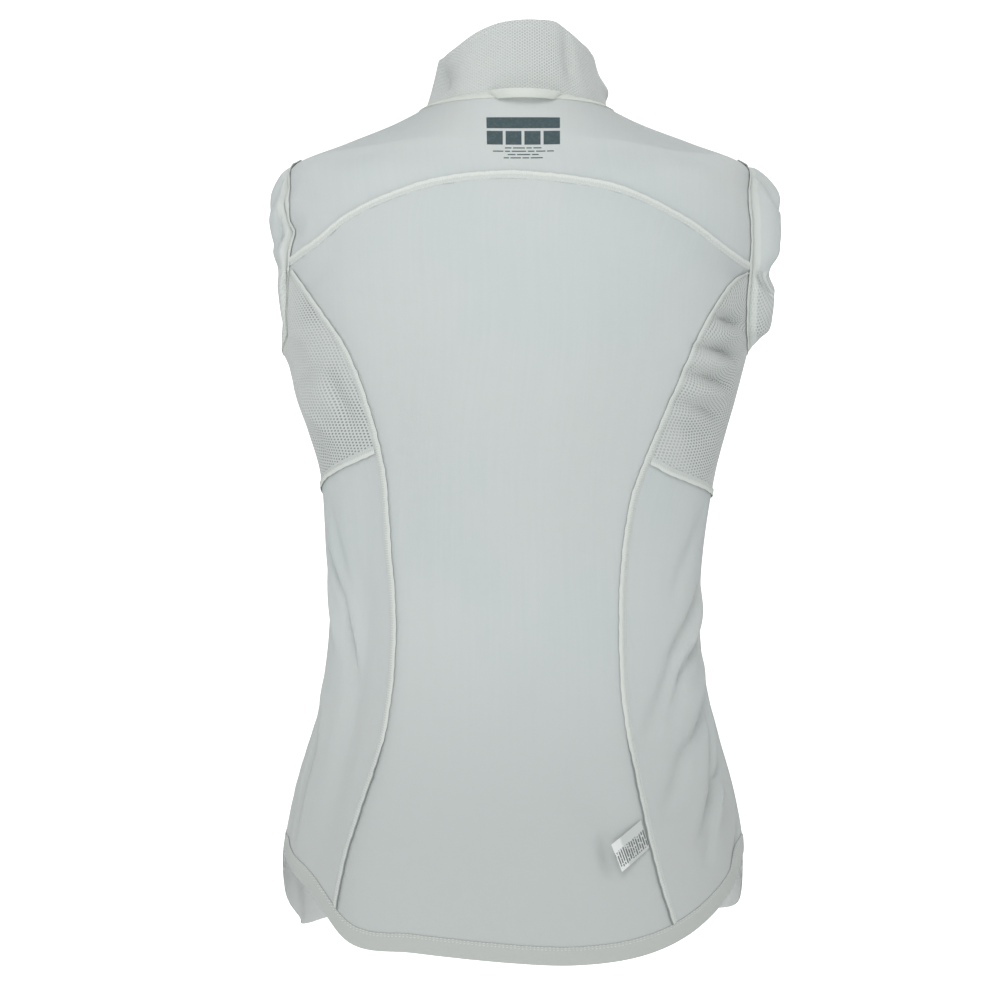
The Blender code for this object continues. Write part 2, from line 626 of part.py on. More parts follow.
def back_center(left, right):
    first, last = left.princess_low[0].turn, right.princess_low[0].turn
    turns = [first + (last - first) * k / BACK_COLUMNS for k in range(BACK_COLUMNS + 1)]
    bottom = [Spot(turn, hem_level(turn)) for turn in turns]
    top = sample(YOKE_SEAM, 0, len(YOKE_SEAM) - 1, BACK_COLUMNS)
    return Panel("back_center", bottom, top, join(left.princess_low, left.princess_high),
                 join(right.princess_low, right.princess_high), KNIT_WALL, "white_knit")


def side_mesh(name, seams):
    return Panel(name, seams.mesh_seam, seams.hole_under, seams.princess_high, seams.side_high,
                 MESH_WALL, "white_mesh")


def side_panel(name, seams):
    return Panel(name, seams.hem_side, seams.mesh_seam, seams.princess_low, seams.side_low,
                 KNIT_WALL, "white_knit")


def front(name, seams):
    """Front panel: its first column edge is the side seam, armhole and shoulder, its last the zip."""
    outer = join(seams.side_low, seams.side_high, seams.hole_front, seams.shoulder)
    hem_turn = front_edge(BODY_RINGS[0].level)
    bottom = seams.along_hem(abs(outer[0].turn), hem_turn, FRONT_COLUMNS)
    scale = (NECK_LEVEL - bottom[-1].level) / (NECK_LEVEL - outer[0].level)
    middle = []
    for spot in outer:
        level = NECK_LEVEL - (NECK_LEVEL - spot.level) * scale
        middle.append(Spot(seams.side * front_edge(level), level))
    top = straight(outer[-1], middle[-1], FRONT_COLUMNS)
    return Panel(name, bottom, top, outer, middle, KNIT_WALL, "white_knit")


# --- seam allowances, hem and zip tapes --------------------------------------------------------------
def armhole_allowance(name, yoke, yoke_side, mesh, front_panel):
    """One overlocked ring on the body side of the armhole, crossing yoke, mesh and front."""
    edge = 0 if yoke_side == "left" else -1
    front_top = LOWER_ROWS + MESH_ROWS + ARMHOLE_FRONT_ROWS
    loop = yoke.stations(yoke_side, 0, ARMHOLE_BACK_ROWS)
    loop.append(yoke.station(ARMHOLE_BACK_ROWS, edge, ARMHOLE_BACK_ROWS + 1, edge))
    loop += front_panel.stations("left", front_top, LOWER_ROWS + MESH_ROWS)
    loop += mesh.stations("top", SIDE_COLUMNS, 0)
    return strip(name, loop, SEAM_GAP, ALLOWANCE, "cream_trim", lift=RING_LIFT, ring=True)


def hem_turn_up(panels):
    front_left, side_left, back, side_right, front_right = panels
    line = front_left.stations("bottom", FRONT_COLUMNS, 0)
    for panel, first, last in ((side_left, SIDE_COLUMNS, 0), (back, 0, BACK_COLUMNS),
                               (side_right, 0, SIDE_COLUMNS), (front_right, 0, FRONT_COLUMNS)):
        line += panel.stations("bottom", first, last)[1:]
    beside_tape = TAPE_WIDTH + TAPE_EDGE - FRONT_EDGE + BESIDE
    strip("hem_turn_up", trimmed(line, beside_tape, beside_tape), SEAM_GAP, HEM_DEPTH, "white_knit")


def seam_allowances(yoke, back, left, right):
    over_hem = HEM_DEPTH + BESIDE
    body_rows = LOWER_ROWS + MESH_ROWS
    tip_row = body_rows + ARMHOLE_FRONT_ROWS
    strip("seam_yoke", trimmed(yoke.stations("bottom", 0, BACK_COLUMNS), AT_ARMHOLE, AT_ARMHOLE),
          SEAM_GAP, ALLOWANCE, "cream_trim")
    strip("neck_tape", trimmed(yoke.stations("top", 0, BACK_COLUMNS), BESIDE, BESIDE),
          SEAM_GAP, NECK_TAPE, "cream_trim")
    for word, edge, panels in (("left", "left", left), ("right", "right", right)):
        princess = trimmed(back.stations(edge, 0, body_rows), over_hem, AT_ARMHOLE)
        strip("seam_princess_" + word, princess, SEAM_GAP, ALLOWANCE, "cream_trim")
        across = trimmed(panels["side"].stations("top", 0, SIDE_COLUMNS), BESIDE, BESIDE)
        strip("seam_mesh_" + word, across, SEAM_GAP, ALLOWANCE, "cream_trim")
        side = trimmed(panels["front"].stations("left", 0, body_rows), over_hem, AT_ARMHOLE)
        strip("seam_side_" + word, side, SEAM_GAP, ALLOWANCE, "cream_trim")
        shoulder = trimmed(panels["front"].stations("left", tip_row, tip_row + SHOULDER_ROWS),
                           AT_ARMHOLE, BESIDE)
        strip("seam_shoulder_" + word, shoulder, SEAM_GAP, ALLOWANCE, "cream_trim")
        armhole_allowance("seam_armhole_" + word, yoke, edge, panels["mesh"], panels["front"])


# --- collar ---------------------------------------------------------------------------------------
def collar_normal(turn, rise):
    return normal_of(collar, turn, rise, 1.0, 0.05, 0.0, 1.0)


def collar_turns():
    neck_edge = front_edge(NECK_LEVEL)
    fronts = [neck_edge + (90 - neck_edge) * k / FRONT_COLUMNS for k in range(FRONT_COLUMNS + 1)]
    back = [-90 + 180 * k / BACK_COLUMNS for k in range(BACK_COLUMNS + 1)]
    return [-turn for turn in fronts[:-1]] + back + [turn for turn in reversed(fronts[:-1])]


def stand_collar():
    """Mesh facing outside and knit collar inside, since the jacket is inside out."""
    rises = [k / COLLAR_ROWS for k in range(COLLAR_ROWS + 1)]
    points = [[collar(turn, rise) for turn in collar_turns()] for rise in rises]
    normals = [[collar_normal(turn, rise) for turn in collar_turns()] for rise in rises]
    within = COLLAR_WALL + SEAM_GAP
    wall("collar_facing", points, moved(points, normals, -COLLAR_WALL), "white_mesh")
    wall("collar_shell", moved(points, normals, -within), moved(points, normals, -within - COLLAR_WALL),
         "white_knit")
    return points, normals


def zip_tape(name, front_panel, points, normals, column_index, next_index):
    """Tape along the front edge and up the collar, on the outside because the jacket is inside out."""
    rows = LOWER_ROWS + MESH_ROWS + ARMHOLE_FRONT_ROWS + SHOULDER_ROWS
    line = front_panel.stations("right", 0, rows)
    for j in range(1, COLLAR_ROWS + 1):
        line.append(Station(points[j][column_index], points[j][next_index],
                            normals[j][column_index], normals[j][next_index]))
    line = trimmed(line, TAPE_EDGE, TAPE_EDGE)
    near = TAPE_EDGE - FRONT_EDGE
    strip(name, line, near, near + TAPE_WIDTH, "cream_trim", thickness=TAPE_WALL)


# --- sleeves --------------------------------------------------------------------------------------
def armhole_ring(yoke, yoke_side, mesh, front_panel):
    """The armhole's points from the yoke corner up over the tip, down the front and under the arm."""
    tip_row = LOWER_ROWS + MESH_ROWS + ARMHOLE_FRONT_ROWS
    cap = [s.edge for s in yoke.stations(yoke_side, 0, ARMHOLE_BACK_ROWS)]
    cap += [s.edge for s in front_panel.stations("left", tip_row, LOWER_ROWS + MESH_ROWS)][1:]
    under = [s.edge for s in mesh.stations("top", SIDE_COLUMNS, 0)]
    return cap + under[1:-1], len(cap) - 1


def sleeve_rings(ring, side, seam_at):
    """Rings of points down the sleeve, each as long as the armhole's own ring."""
    top, bottom = max(p.z for p in ring), min(p.z for p in ring)
    middle_z, half_height = (top + bottom) / 2, (top - bottom) / 2
    half_width = (max(p.y for p in ring) - min(p.y for p in ring)) / 2
    plane_x = sum(p.x for p in ring) / len(ring)
    angles = [math.atan2((p.y - ARMHOLE_MIDDLE) / half_width, (p.z - middle_z) / half_height) for p in ring]
    start = []
    for p in ring:
        inward = Vector((0, ARMHOLE_MIDDLE - p.y, middle_z - p.z)).normalized()
        start.append(p + inward * SEAM_GAP + Vector((side * SEAM_GAP, 0, 0)))
    shares = column(LIP_SHARES, "right" if side > 0 else "left")
    rings = [start]
    for n, lip in enumerate(SLEEVE_LIP):
        blend = (n + 1) / len(SLEEVE_LIP)
        line = []
        for k, (p, angle) in enumerate(zip(ring, angles)):
            share = smooth(column(LIP_SHARES, "angle"), shares, abs(math.degrees(angle)))
            pinch = LIP_PINCH if k in (0, seam_at) else 0.0
            out = lip.out * share
            out -= pinch * share * math.sin(math.pi * blend)
            x = p.x + (side * abs(plane_x) - p.x) * blend + side * out
            line.append(Vector((x, ARMHOLE_MIDDLE + (p.y - ARMHOLE_MIDDLE) * lip.across,
                                middle_z - lip.drop + (p.z - middle_z) * lip.tall)))
        rings.append(line)
    for n, tube in enumerate(SLEEVE_TUBE):
        settle = min((n + 1) / TUBE_SETTLES, 1.0)
        middle_y = ARMHOLE_MIDDLE + (TUBE_MIDDLE - ARMHOLE_MIDDLE) * settle
        inner = Vector((side * tube.inner_x, middle_y, tube.inner_z))
        outer = Vector((side * tube.outer_x, middle_y, tube.outer_z))
        centre, half = (inner + outer) / 2, (inner - outer) / 2
        rings.append([centre + half * math.cos(a) + Vector((0, tube.half_width * math.sin(a), 0))
                      for a in angles])
    return rings


def ring_normals(rings, side):
    """Directions off the side of the cloth that shows: away from the roll, and into the tube."""
    count = len(rings[0])
    grid = []
    for j in range(len(rings)):
        below, above = rings[max(j - 1, 0)], rings[min(j + 1, len(rings) - 1)]
        line = []
        for i in range(count):
            round_ring = rings[j][(i + 1) % count] - rings[j][i - 1]
            line.append((above[i] - below[i]).cross(round_ring).normalized() * side)
        grid.append(line)
    return grid


def sleeve(word, side, ring, seam_at):
    """Plain top sleeve over the cap and mesh under sleeve below it, seamed at ring points 0 and seam_at.

    Each is a row of lengths that stand a seam's gap apart.
    """
    rings = sleeve_rings(ring, side, seam_at)
    normals = ring_normals(rings, side)
    count = len(ring)
    pieces = (("sleeve_top_", range(0, seam_at + 1), "white_knit", KNIT_WALL),
              ("sleeve_under_", [k % count for k in range(seam_at, count + 1)], "white_mesh", MESH_WALL))
    for name, picks, finish, thickness in pieces:
        points = [[line[k] for k in picks] for line in rings]
        directions = [[line[k] for k in picks] for line in normals]
        for length in SLEEVE_LENGTHS:
            rows = slice(length.first_ring, length.last_ring + 1)
            shown = drawn_in(points[rows], SEAM_GAP / 2)
            back = moved(shown, directions[rows], -thickness)
            wall("%s%s_%s" % (name, word, length.name), shown, back, finish)


# --- hanger loop and care label ------------------------------------------------------------------------
def sheet_of(spot_at, lift_at, columns, rows):
    """Front and back grids of a small sheet held off the back: lift_at gives the way from the skin."""
    outer, inner = [], []
    for j in range(rows + 1):
        front_line, back_line = [], []
        for i in range(columns + 1):
            u, v = i / columns, j / rows
            turn, level = spot_at(u, v)
            out = skin_normal(turn, level)
            back = bare_skin(turn, level) + lift_at(u, v, out)
            back_line.append(back)
            front_line.append(back + out * TRIM_WALL)
        outer.append(front_line)
        inner.append(back_line)
    return outer, inner


def hanger_loop():
    """Tape caught in the neck seam at both ends and bowed away from the back between them."""
    def spot_at(u, v):
        first = LOOP_BOTTOM[0] + (LOOP_TOP[0] - LOOP_BOTTOM[0]) * v
        last = LOOP_BOTTOM[1] + (LOOP_TOP[1] - LOOP_BOTTOM[1]) * v
        return first + (last - first) * u, LOOP_BOTTOM_LEVEL + (NECK_LEVEL - LOOP_BOTTOM_LEVEL) * v

    def lift_at(u, v, out):
        bow = LOOP_BOW_BOTTOM + (LOOP_BOW_TOP - LOOP_BOW_BOTTOM) * v
        return out * LOOP_SEAT + Vector((0, -bow * math.sin(math.pi * u) ** LOOP_BOW_BLUNTNESS, 0))

    wall("hanger_loop", *sheet_of(spot_at, lift_at, LOOP_COLUMNS, LOOP_ROWS), "cream_trim")


def care_label():
    """Folded satin label sewn in at the right princess seam, its free end lifting off the back."""
    seam_top, seam_bottom, free_bottom, free_top = LABEL_CORNERS

    def spot_at(u, v):
        near = [a + (b - a) * v for a, b in zip(seam_bottom, seam_top)]
        far = [a + (b - a) * v for a, b in zip(free_bottom, free_top)]
        return [a + (b - a) * u for a, b in zip(near, far)]

    def lift_at(u, v, out):
        return out * (LABEL_SEAT + LABEL_RISE * u ** LABEL_CURL * (1 - LABEL_TWIST * v))

    wall("care_label", *sheet_of(spot_at, lift_at, LABEL_COLUMNS, LABEL_ROWS), "white_satin")


# --- zip slider and pull tab -----------------------------------------------------------------------------
def bar(name, outline, low, high, place, finish):
    """Solid with the same outline from one end to the other; place puts each corner in space."""
    count = len(outline)
    vertices = [place(a, b, along) for along in (low, high) for a, b in outline]
    faces = [tuple(range(count)), tuple(range(count, 2 * count))]
    faces += [(k, (k + 1) % count, count + (k + 1) % count, count + k) for k in range(count)]
    return solid(name, vertices, faces, finish, HARD_ANGLE)


def slider_frame(points, normals):
    """Middle of the tapes at the slider's height, the direction up the zip, and outwards."""
    place = SLIDER_RISE * COLLAR_ROWS
    j = int(place)
    share = place - j

    def middle(grid, row):
        return (grid[row][0] + grid[row][-1]) / 2

    spot = middle(points, j).lerp(middle(points, min(j + 1, COLLAR_ROWS)), share)
    up = (middle(points, COLLAR_ROWS) - middle(points, COLLAR_ROWS - 1)).normalized()
    up.x = 0
    up.normalize()
    out = Vector((1, 0, 0)).cross(up)
    if out.dot(middle(normals, j)) < 0:
        out = -out
    return Vector((0, spot.y, spot.z)) + out * (LIFT + TAPE_WALL / 2), up, out


def zip_slider(points, normals):
    """Two plates joined by a post between the tapes, with a bridge on the face side, now inside.

    Returns the middle of the bridge's hollow, which the pull tab hangs in.
    """
    centre, up, out = slider_frame(points, normals)
    near = TAPE_WALL / 2 + SLIDER_CLEARANCE
    far = near + SLIDER_PLATE
    wide, post = SLIDER_HALF_WIDTH, POST_HALF_WIDTH
    profile = [(-wide, -far), (wide, -far), (wide, -near), (post, -near), (post, near), (wide, near),
               (wide, far), (-wide, far), (-wide, near), (-post, near), (-post, -near), (-wide, -near)]
    slider = bar("zip_slider", profile, -SLIDER_LENGTH / 2, SLIDER_LENGTH / 2,
                 lambda x, outwards, along: centre + Vector((x, 0, 0)) + out * outwards + up * along,
                 "white_zip")
    sunk = far - SLIDER_PLATE / 2
    inside = far + BRIDGE_HOLLOW
    crown = inside + BRIDGE_WALL
    shoulder = crown - BRIDGE_WALL / 2
    long, short = BRIDGE_HALF_LENGTH, BRIDGE_HOLLOW_HALF_LENGTH
    arch = [(-sunk, -long), (-shoulder, -long), (-crown, -short), (-crown, short), (-shoulder, long),
            (-sunk, long), (-sunk, short), (-inside, short), (-inside, -short), (-sunk, -short)]
    bridge = bar("zip_bridge_tool", arch, -BRIDGE_HALF_WIDTH, BRIDGE_HALF_WIDTH,
                 lambda outwards, along, x: centre + Vector((x, 0, 0)) + out * outwards + up * along,
                 "white_zip")
    bridge.hide_render = True
    bridge.display_type = "WIRE"
    weld = slider.modifiers.new("bridge", "BOOLEAN")
    weld.operation = "UNION"
    weld.object = bridge
    return centre - out * (far + BRIDGE_HOLLOW / 2)


def pull_tab(axis_point):
    """Flat tab with an eye round the bridge, hanging straight down from its bar."""
    # across: half widths of the eye and of the tab in each row; the rows run down from the bar
    rows = [(TAB_BAR, TAB_HALF_WIDTH), (-TAB_BAR, TAB_HALF_WIDTH), (-TAB_EYE_LENGTH, TAB_HALF_WIDTH),
            (-TAB_WAIST_AT, TAB_WAIST_HALF_WIDTH), (-TAB_LENGTH, TAB_HALF_WIDTH)]
    eye_cell = (1, 1)
    vertices, index = [], {}
    for side, y in enumerate((-TAB_BAR, TAB_BAR)):
        for j, (z, half_width) in enumerate(rows):
            eye = TAB_EYE_HALF_WIDTH * half_width / TAB_HALF_WIDTH
            for i, x in enumerate((-half_width, -eye, eye, half_width)):
                index[side, j, i] = len(vertices)
                vertices.append(Vector((x, y, z)))
    faces, rims = [], {}
    for j in range(len(rows) - 1):
        for i in range(3):
            if (j, i) == eye_cell:
                continue
            corners = [(j, i), (j, i + 1), (j + 1, i + 1), (j + 1, i)]
            faces.append(tuple(index[0, a, b] for a, b in corners))
            faces.append(tuple(index[1, a, b] for a, b in reversed(corners)))
            for a, b in zip(corners, corners[1:] + corners[:1]):
                pair = frozenset((a, b))
                rims[pair] = None if pair in rims else (a, b)
    for a, b in (rim for rim in rims.values() if rim):
        faces.append((index[0, *a], index[1, *a], index[1, *b], index[0, *b]))
    tab = solid("zip_pull_tab", vertices, faces, "white_zip", HARD_ANGLE)
    hinge = bpy.data.objects.new("zip_pull_hinge", None)
    hinge.location = axis_point
    bpy.context.scene.collection.objects.link(hinge)
    tab.parent = hinge


def golf_jacket():
    left, right = SideSeams(-1), SideSeams(1)
    yoke = back_yoke(left, right)
    back = back_center(left, right)
    sides = {}
    for word, seams in (("left", left), ("right", right)):
        sides[word] = {"mesh": side_mesh("side_mesh_" + word, seams),
                       "side": side_panel("side_panel_" + word, seams),
                       "front": front("front_" + word, seams)}
        ring, seam_at = armhole_ring(yoke, word, sides[word]["mesh"], sides[word]["front"])
        sleeve(word, seams.side, ring, seam_at)
    seam_allowances(yoke, back, sides["left"], sides["right"])
    hem_turn_up((sides["left"]["front"], sides["left"]["side"], back,
                 sides["right"]["side"], sides["right"]["front"]))
    points, normals = stand_collar()
    zip_tape("zip_tape_left", sides["left"]["front"], points, normals, 0, 1)
    zip_tape("zip_tape_right", sides["right"]["front"], points, normals, -1, -2)
    hanger_loop()
    care_label()
    pull_tab(zip_slider(points, normals))


for old in list(bpy.data.objects):
    bpy.data.objects.remove(old, do_unlink=True)
golf_jacket()
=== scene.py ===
"""Looks of the inside-out golf jacket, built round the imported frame.

Metres, +Z up, the back facing -Y. The jacket's surface is the same one as the frame's solids have: a
stack of rings round the body, seam lines as turns in degrees and levels, and a rolled lip at each
armhole. Here it is cut much finer, with the small creases, the puckered seams, the overlocked
allowances, the stitches, the zip teeth and the weave of each cloth.
"""
import math
from collections import namedtuple

import bmesh
import bpy
import numpy as np
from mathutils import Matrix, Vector


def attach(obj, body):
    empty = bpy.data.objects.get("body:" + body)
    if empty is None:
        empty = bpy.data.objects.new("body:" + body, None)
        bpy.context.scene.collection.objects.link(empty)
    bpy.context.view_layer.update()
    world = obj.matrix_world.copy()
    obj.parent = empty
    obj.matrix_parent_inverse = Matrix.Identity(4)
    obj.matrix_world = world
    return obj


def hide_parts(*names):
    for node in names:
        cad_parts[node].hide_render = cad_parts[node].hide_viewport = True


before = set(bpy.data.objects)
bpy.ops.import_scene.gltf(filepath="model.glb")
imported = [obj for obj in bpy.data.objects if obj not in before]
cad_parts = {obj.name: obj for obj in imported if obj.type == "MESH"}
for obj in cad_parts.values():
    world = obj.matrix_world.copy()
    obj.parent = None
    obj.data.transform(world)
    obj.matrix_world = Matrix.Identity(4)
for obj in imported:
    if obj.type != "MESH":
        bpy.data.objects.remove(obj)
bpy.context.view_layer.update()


def table(kind, *rows):
    """Rows of numbers with the names of their columns."""
    return [kind(*row) for row in rows]


# --- cloth and trim: walls, gaps and widths ---
CLOTH_WALL = 0.0012
HEM_WALL = 0.0005
COLLAR_WALL = 0.0010
TRIM_WALL = 0.0010
TAPE_WALL = 0.0008
SEAM_GAP = 0.0003
LIFT = 0.0003               # from a panel up to what lies on it
RING_LIFT = 0.0005          # for strips that cross from one panel to the next
ALLOWANCE = 0.0055          # overlocked seam allowance, pressed to one side
HEM_DEPTH = 0.0140
NECK_TAPE = 0.0060
FRONT_EDGE = 0.0060         # front panel edge from the centre front
TAPE_EDGE = 0.0015          # zip tape edge from the centre front
TAPE_WIDTH = 0.0125
AT_ARMHOLE = 0.0060         # where strips end, on the armhole allowance's ring
BESIDE = 0.0004             # where a strip stops short of another one

# --- body rings, hem to neck seam ---
NECK_LEVEL = 0.0142
TIP_LEVEL = -0.0500         # ring that the shoulder tips lie on
BodyRing = namedtuple("BodyRing", "level rise_side rise_front left right back front square")
BODY_RINGS = table(
    BodyRing,
    (-0.66, 0, 0, 0.186, 0.18, 0.126, 0.115, 2.4), (-0.612, 0, 0, 0.184, 0.178, 0.124, 0.114, 2.4),
    (-0.569, 0, 0, 0.182, 0.175, 0.12, 0.113, 2.4), (-0.522, 0, 0, 0.1724, 0.1669, 0.113, 0.11, 2.4),
    (-0.476, 0, 0, 0.159, 0.1568, 0.103, 0.106, 2.4), (-0.429, 0, 0, 0.1498, 0.146, 0.093, 0.102, 2.4),
    (-0.382, 0, 0, 0.1459, 0.1427, 0.089, 0.104, 2.4), (-0.335, 0, 0, 0.149, 0.145, 0.092, 0.114, 2.4),
    (-0.277, 0, 0, 0.153, 0.154, 0.103, 0.13, 2.4), (-0.242, 0, 0, 0.163, 0.163, 0.11, 0.135, 2.4),
    (-0.218, 0, 0, 0.1716, 0.17, 0.114, 0.133, 2.4), (-0.183, 0, 0, 0.18, 0.179, 0.117, 0.121, 2.4),
    (-0.15, 0, 0, 0.185, 0.184, 0.117, 0.107, 2.4), (-0.118, 0, 0, 0.187, 0.188, 0.114, 0.095, 2.4),
    (-0.09, 0.008, -0.01, 0.1865, 0.1875, 0.109, 0.0855, 2.4),
    (-0.07, 0.012, -0.02, 0.181, 0.183, 0.104, 0.0815, 2.4),
    (-0.05, 0.014, -0.032, 0.1725, 0.1765, 0.098, 0.0785, 2.4),
    (-0.03, 0.0096, -0.046, 0.135, 0.138, 0.09, 0.0755, 2.35),
    (-0.008, 0.0022, -0.058, 0.098, 0.0985, 0.08, 0.073, 2.25),
    (NECK_LEVEL, -0.0067, -0.0742, 0.0713, 0.0703, 0.069, 0.071, 2.15),
)

# --- seams: turn and level, each from the hem up or from the back round to the front ---
# a row without a level takes it from the seam that it meets
Spot = namedtuple("Spot", "turn level")
HEM = table(
    Spot,
    (-180, -0.632), (-150, -0.63), (-130, -0.631), (-120, -0.634), (-112, -0.631), (-106, -0.621),
    (-100, -0.605), (-94, -0.582), (-88, -0.567), (-80, -0.566), (-67, -0.578), (-54, -0.594),
    (-40, -0.629), (-24, -0.634), (0, -0.641), (14, -0.6425), (28, -0.638), (40, -0.627), (53, -0.608),
    (72, -0.578), (80, -0.571), (87, -0.57), (94, -0.585), (100, -0.604), (107, -0.615), (120, -0.622),
    (145, -0.627), (180, -0.632),
)
PRINCESS = {
    "left": table(
        Spot,
        (46.3, None), (42.6, -0.5534), (39.8, -0.5101), (38.2, -0.472), (38, -0.4295), (38.9, -0.364),
        (39.7, -0.31), (40.2, -0.256), (40.9, -0.2177), (44.3, -0.183), (52, -0.152), (61, -0.1275),
        (65, -0.119),
    ),
    "right": table(
        Spot,
        (40.9, None), (36.4, -0.583), (34.2, -0.5476), (32, -0.4717), (32.7, -0.41), (33.3, -0.343),
        (34.6, -0.295), (37.6, -0.264), (42.9, -0.2095), (46.5, -0.1765), (51.6, -0.15), (58.5, -0.1295),
        (68.5, -0.121),
    ),
}
MESH_CORNER_ROW = 7         # row of both princess seams where the mesh panel ends
YOKE_SEAM = table(
    Spot,
    (-65, -0.119), (-58, -0.1135), (-49.4, -0.1046), (-40, -0.0882), (-29.4, -0.0723), (-17.4, -0.0599),
    (-1.9, -0.0547), (13.4, -0.0595), (25.2, -0.0689), (37.4, -0.088), (50.6, -0.1085), (60, -0.1175),
    (68.5, -0.121),
)
MESH_SEAM = {
    "left": table(
        Spot,
        (40.2, -0.256), (51.3, -0.2646), (77.3, -0.2795), (95, -0.2855), (110, -0.2875),
    ),
    "right": table(
        Spot,
        (37.6, -0.264), (47.2, -0.2738), (68.9, -0.2842), (90, -0.2885), (110, -0.2895),
    ),
}
SIDE_SEAM = table(
    Spot,
    (112, None), (111, -0.45), (110, None), (111, -0.22), (113, -0.15),
)
SIDE_MESH_ROW = 2           # row of the side seam where the mesh panel ends
ARMHOLE = {
    "left": table(
        Spot,
        (90, TIP_LEVEL), (79, -0.0575), (70, -0.076), (66, -0.098), (65, -0.119), (67, -0.143),
        (73, -0.168), (90, -0.181), (104, -0.17), (113, -0.15), (117, -0.124), (115, -0.098), (109, -0.074),
        (100, -0.0575), (90, TIP_LEVEL),
    ),
    "right": table(
        Spot,
        (90, TIP_LEVEL), (80, -0.0575), (72, -0.076), (69, -0.098), (68.5, -0.121), (69.5, -0.143),
        (74, -0.168), (90, -0.181), (104, -0.17), (113, -0.15), (117, -0.124), (115, -0.098), (109, -0.074),
        (100, -0.0575), (90, TIP_LEVEL),
    ),
}
YOKE_CORNER_ROW = 4
SIDE_CORNER_ROW = 9

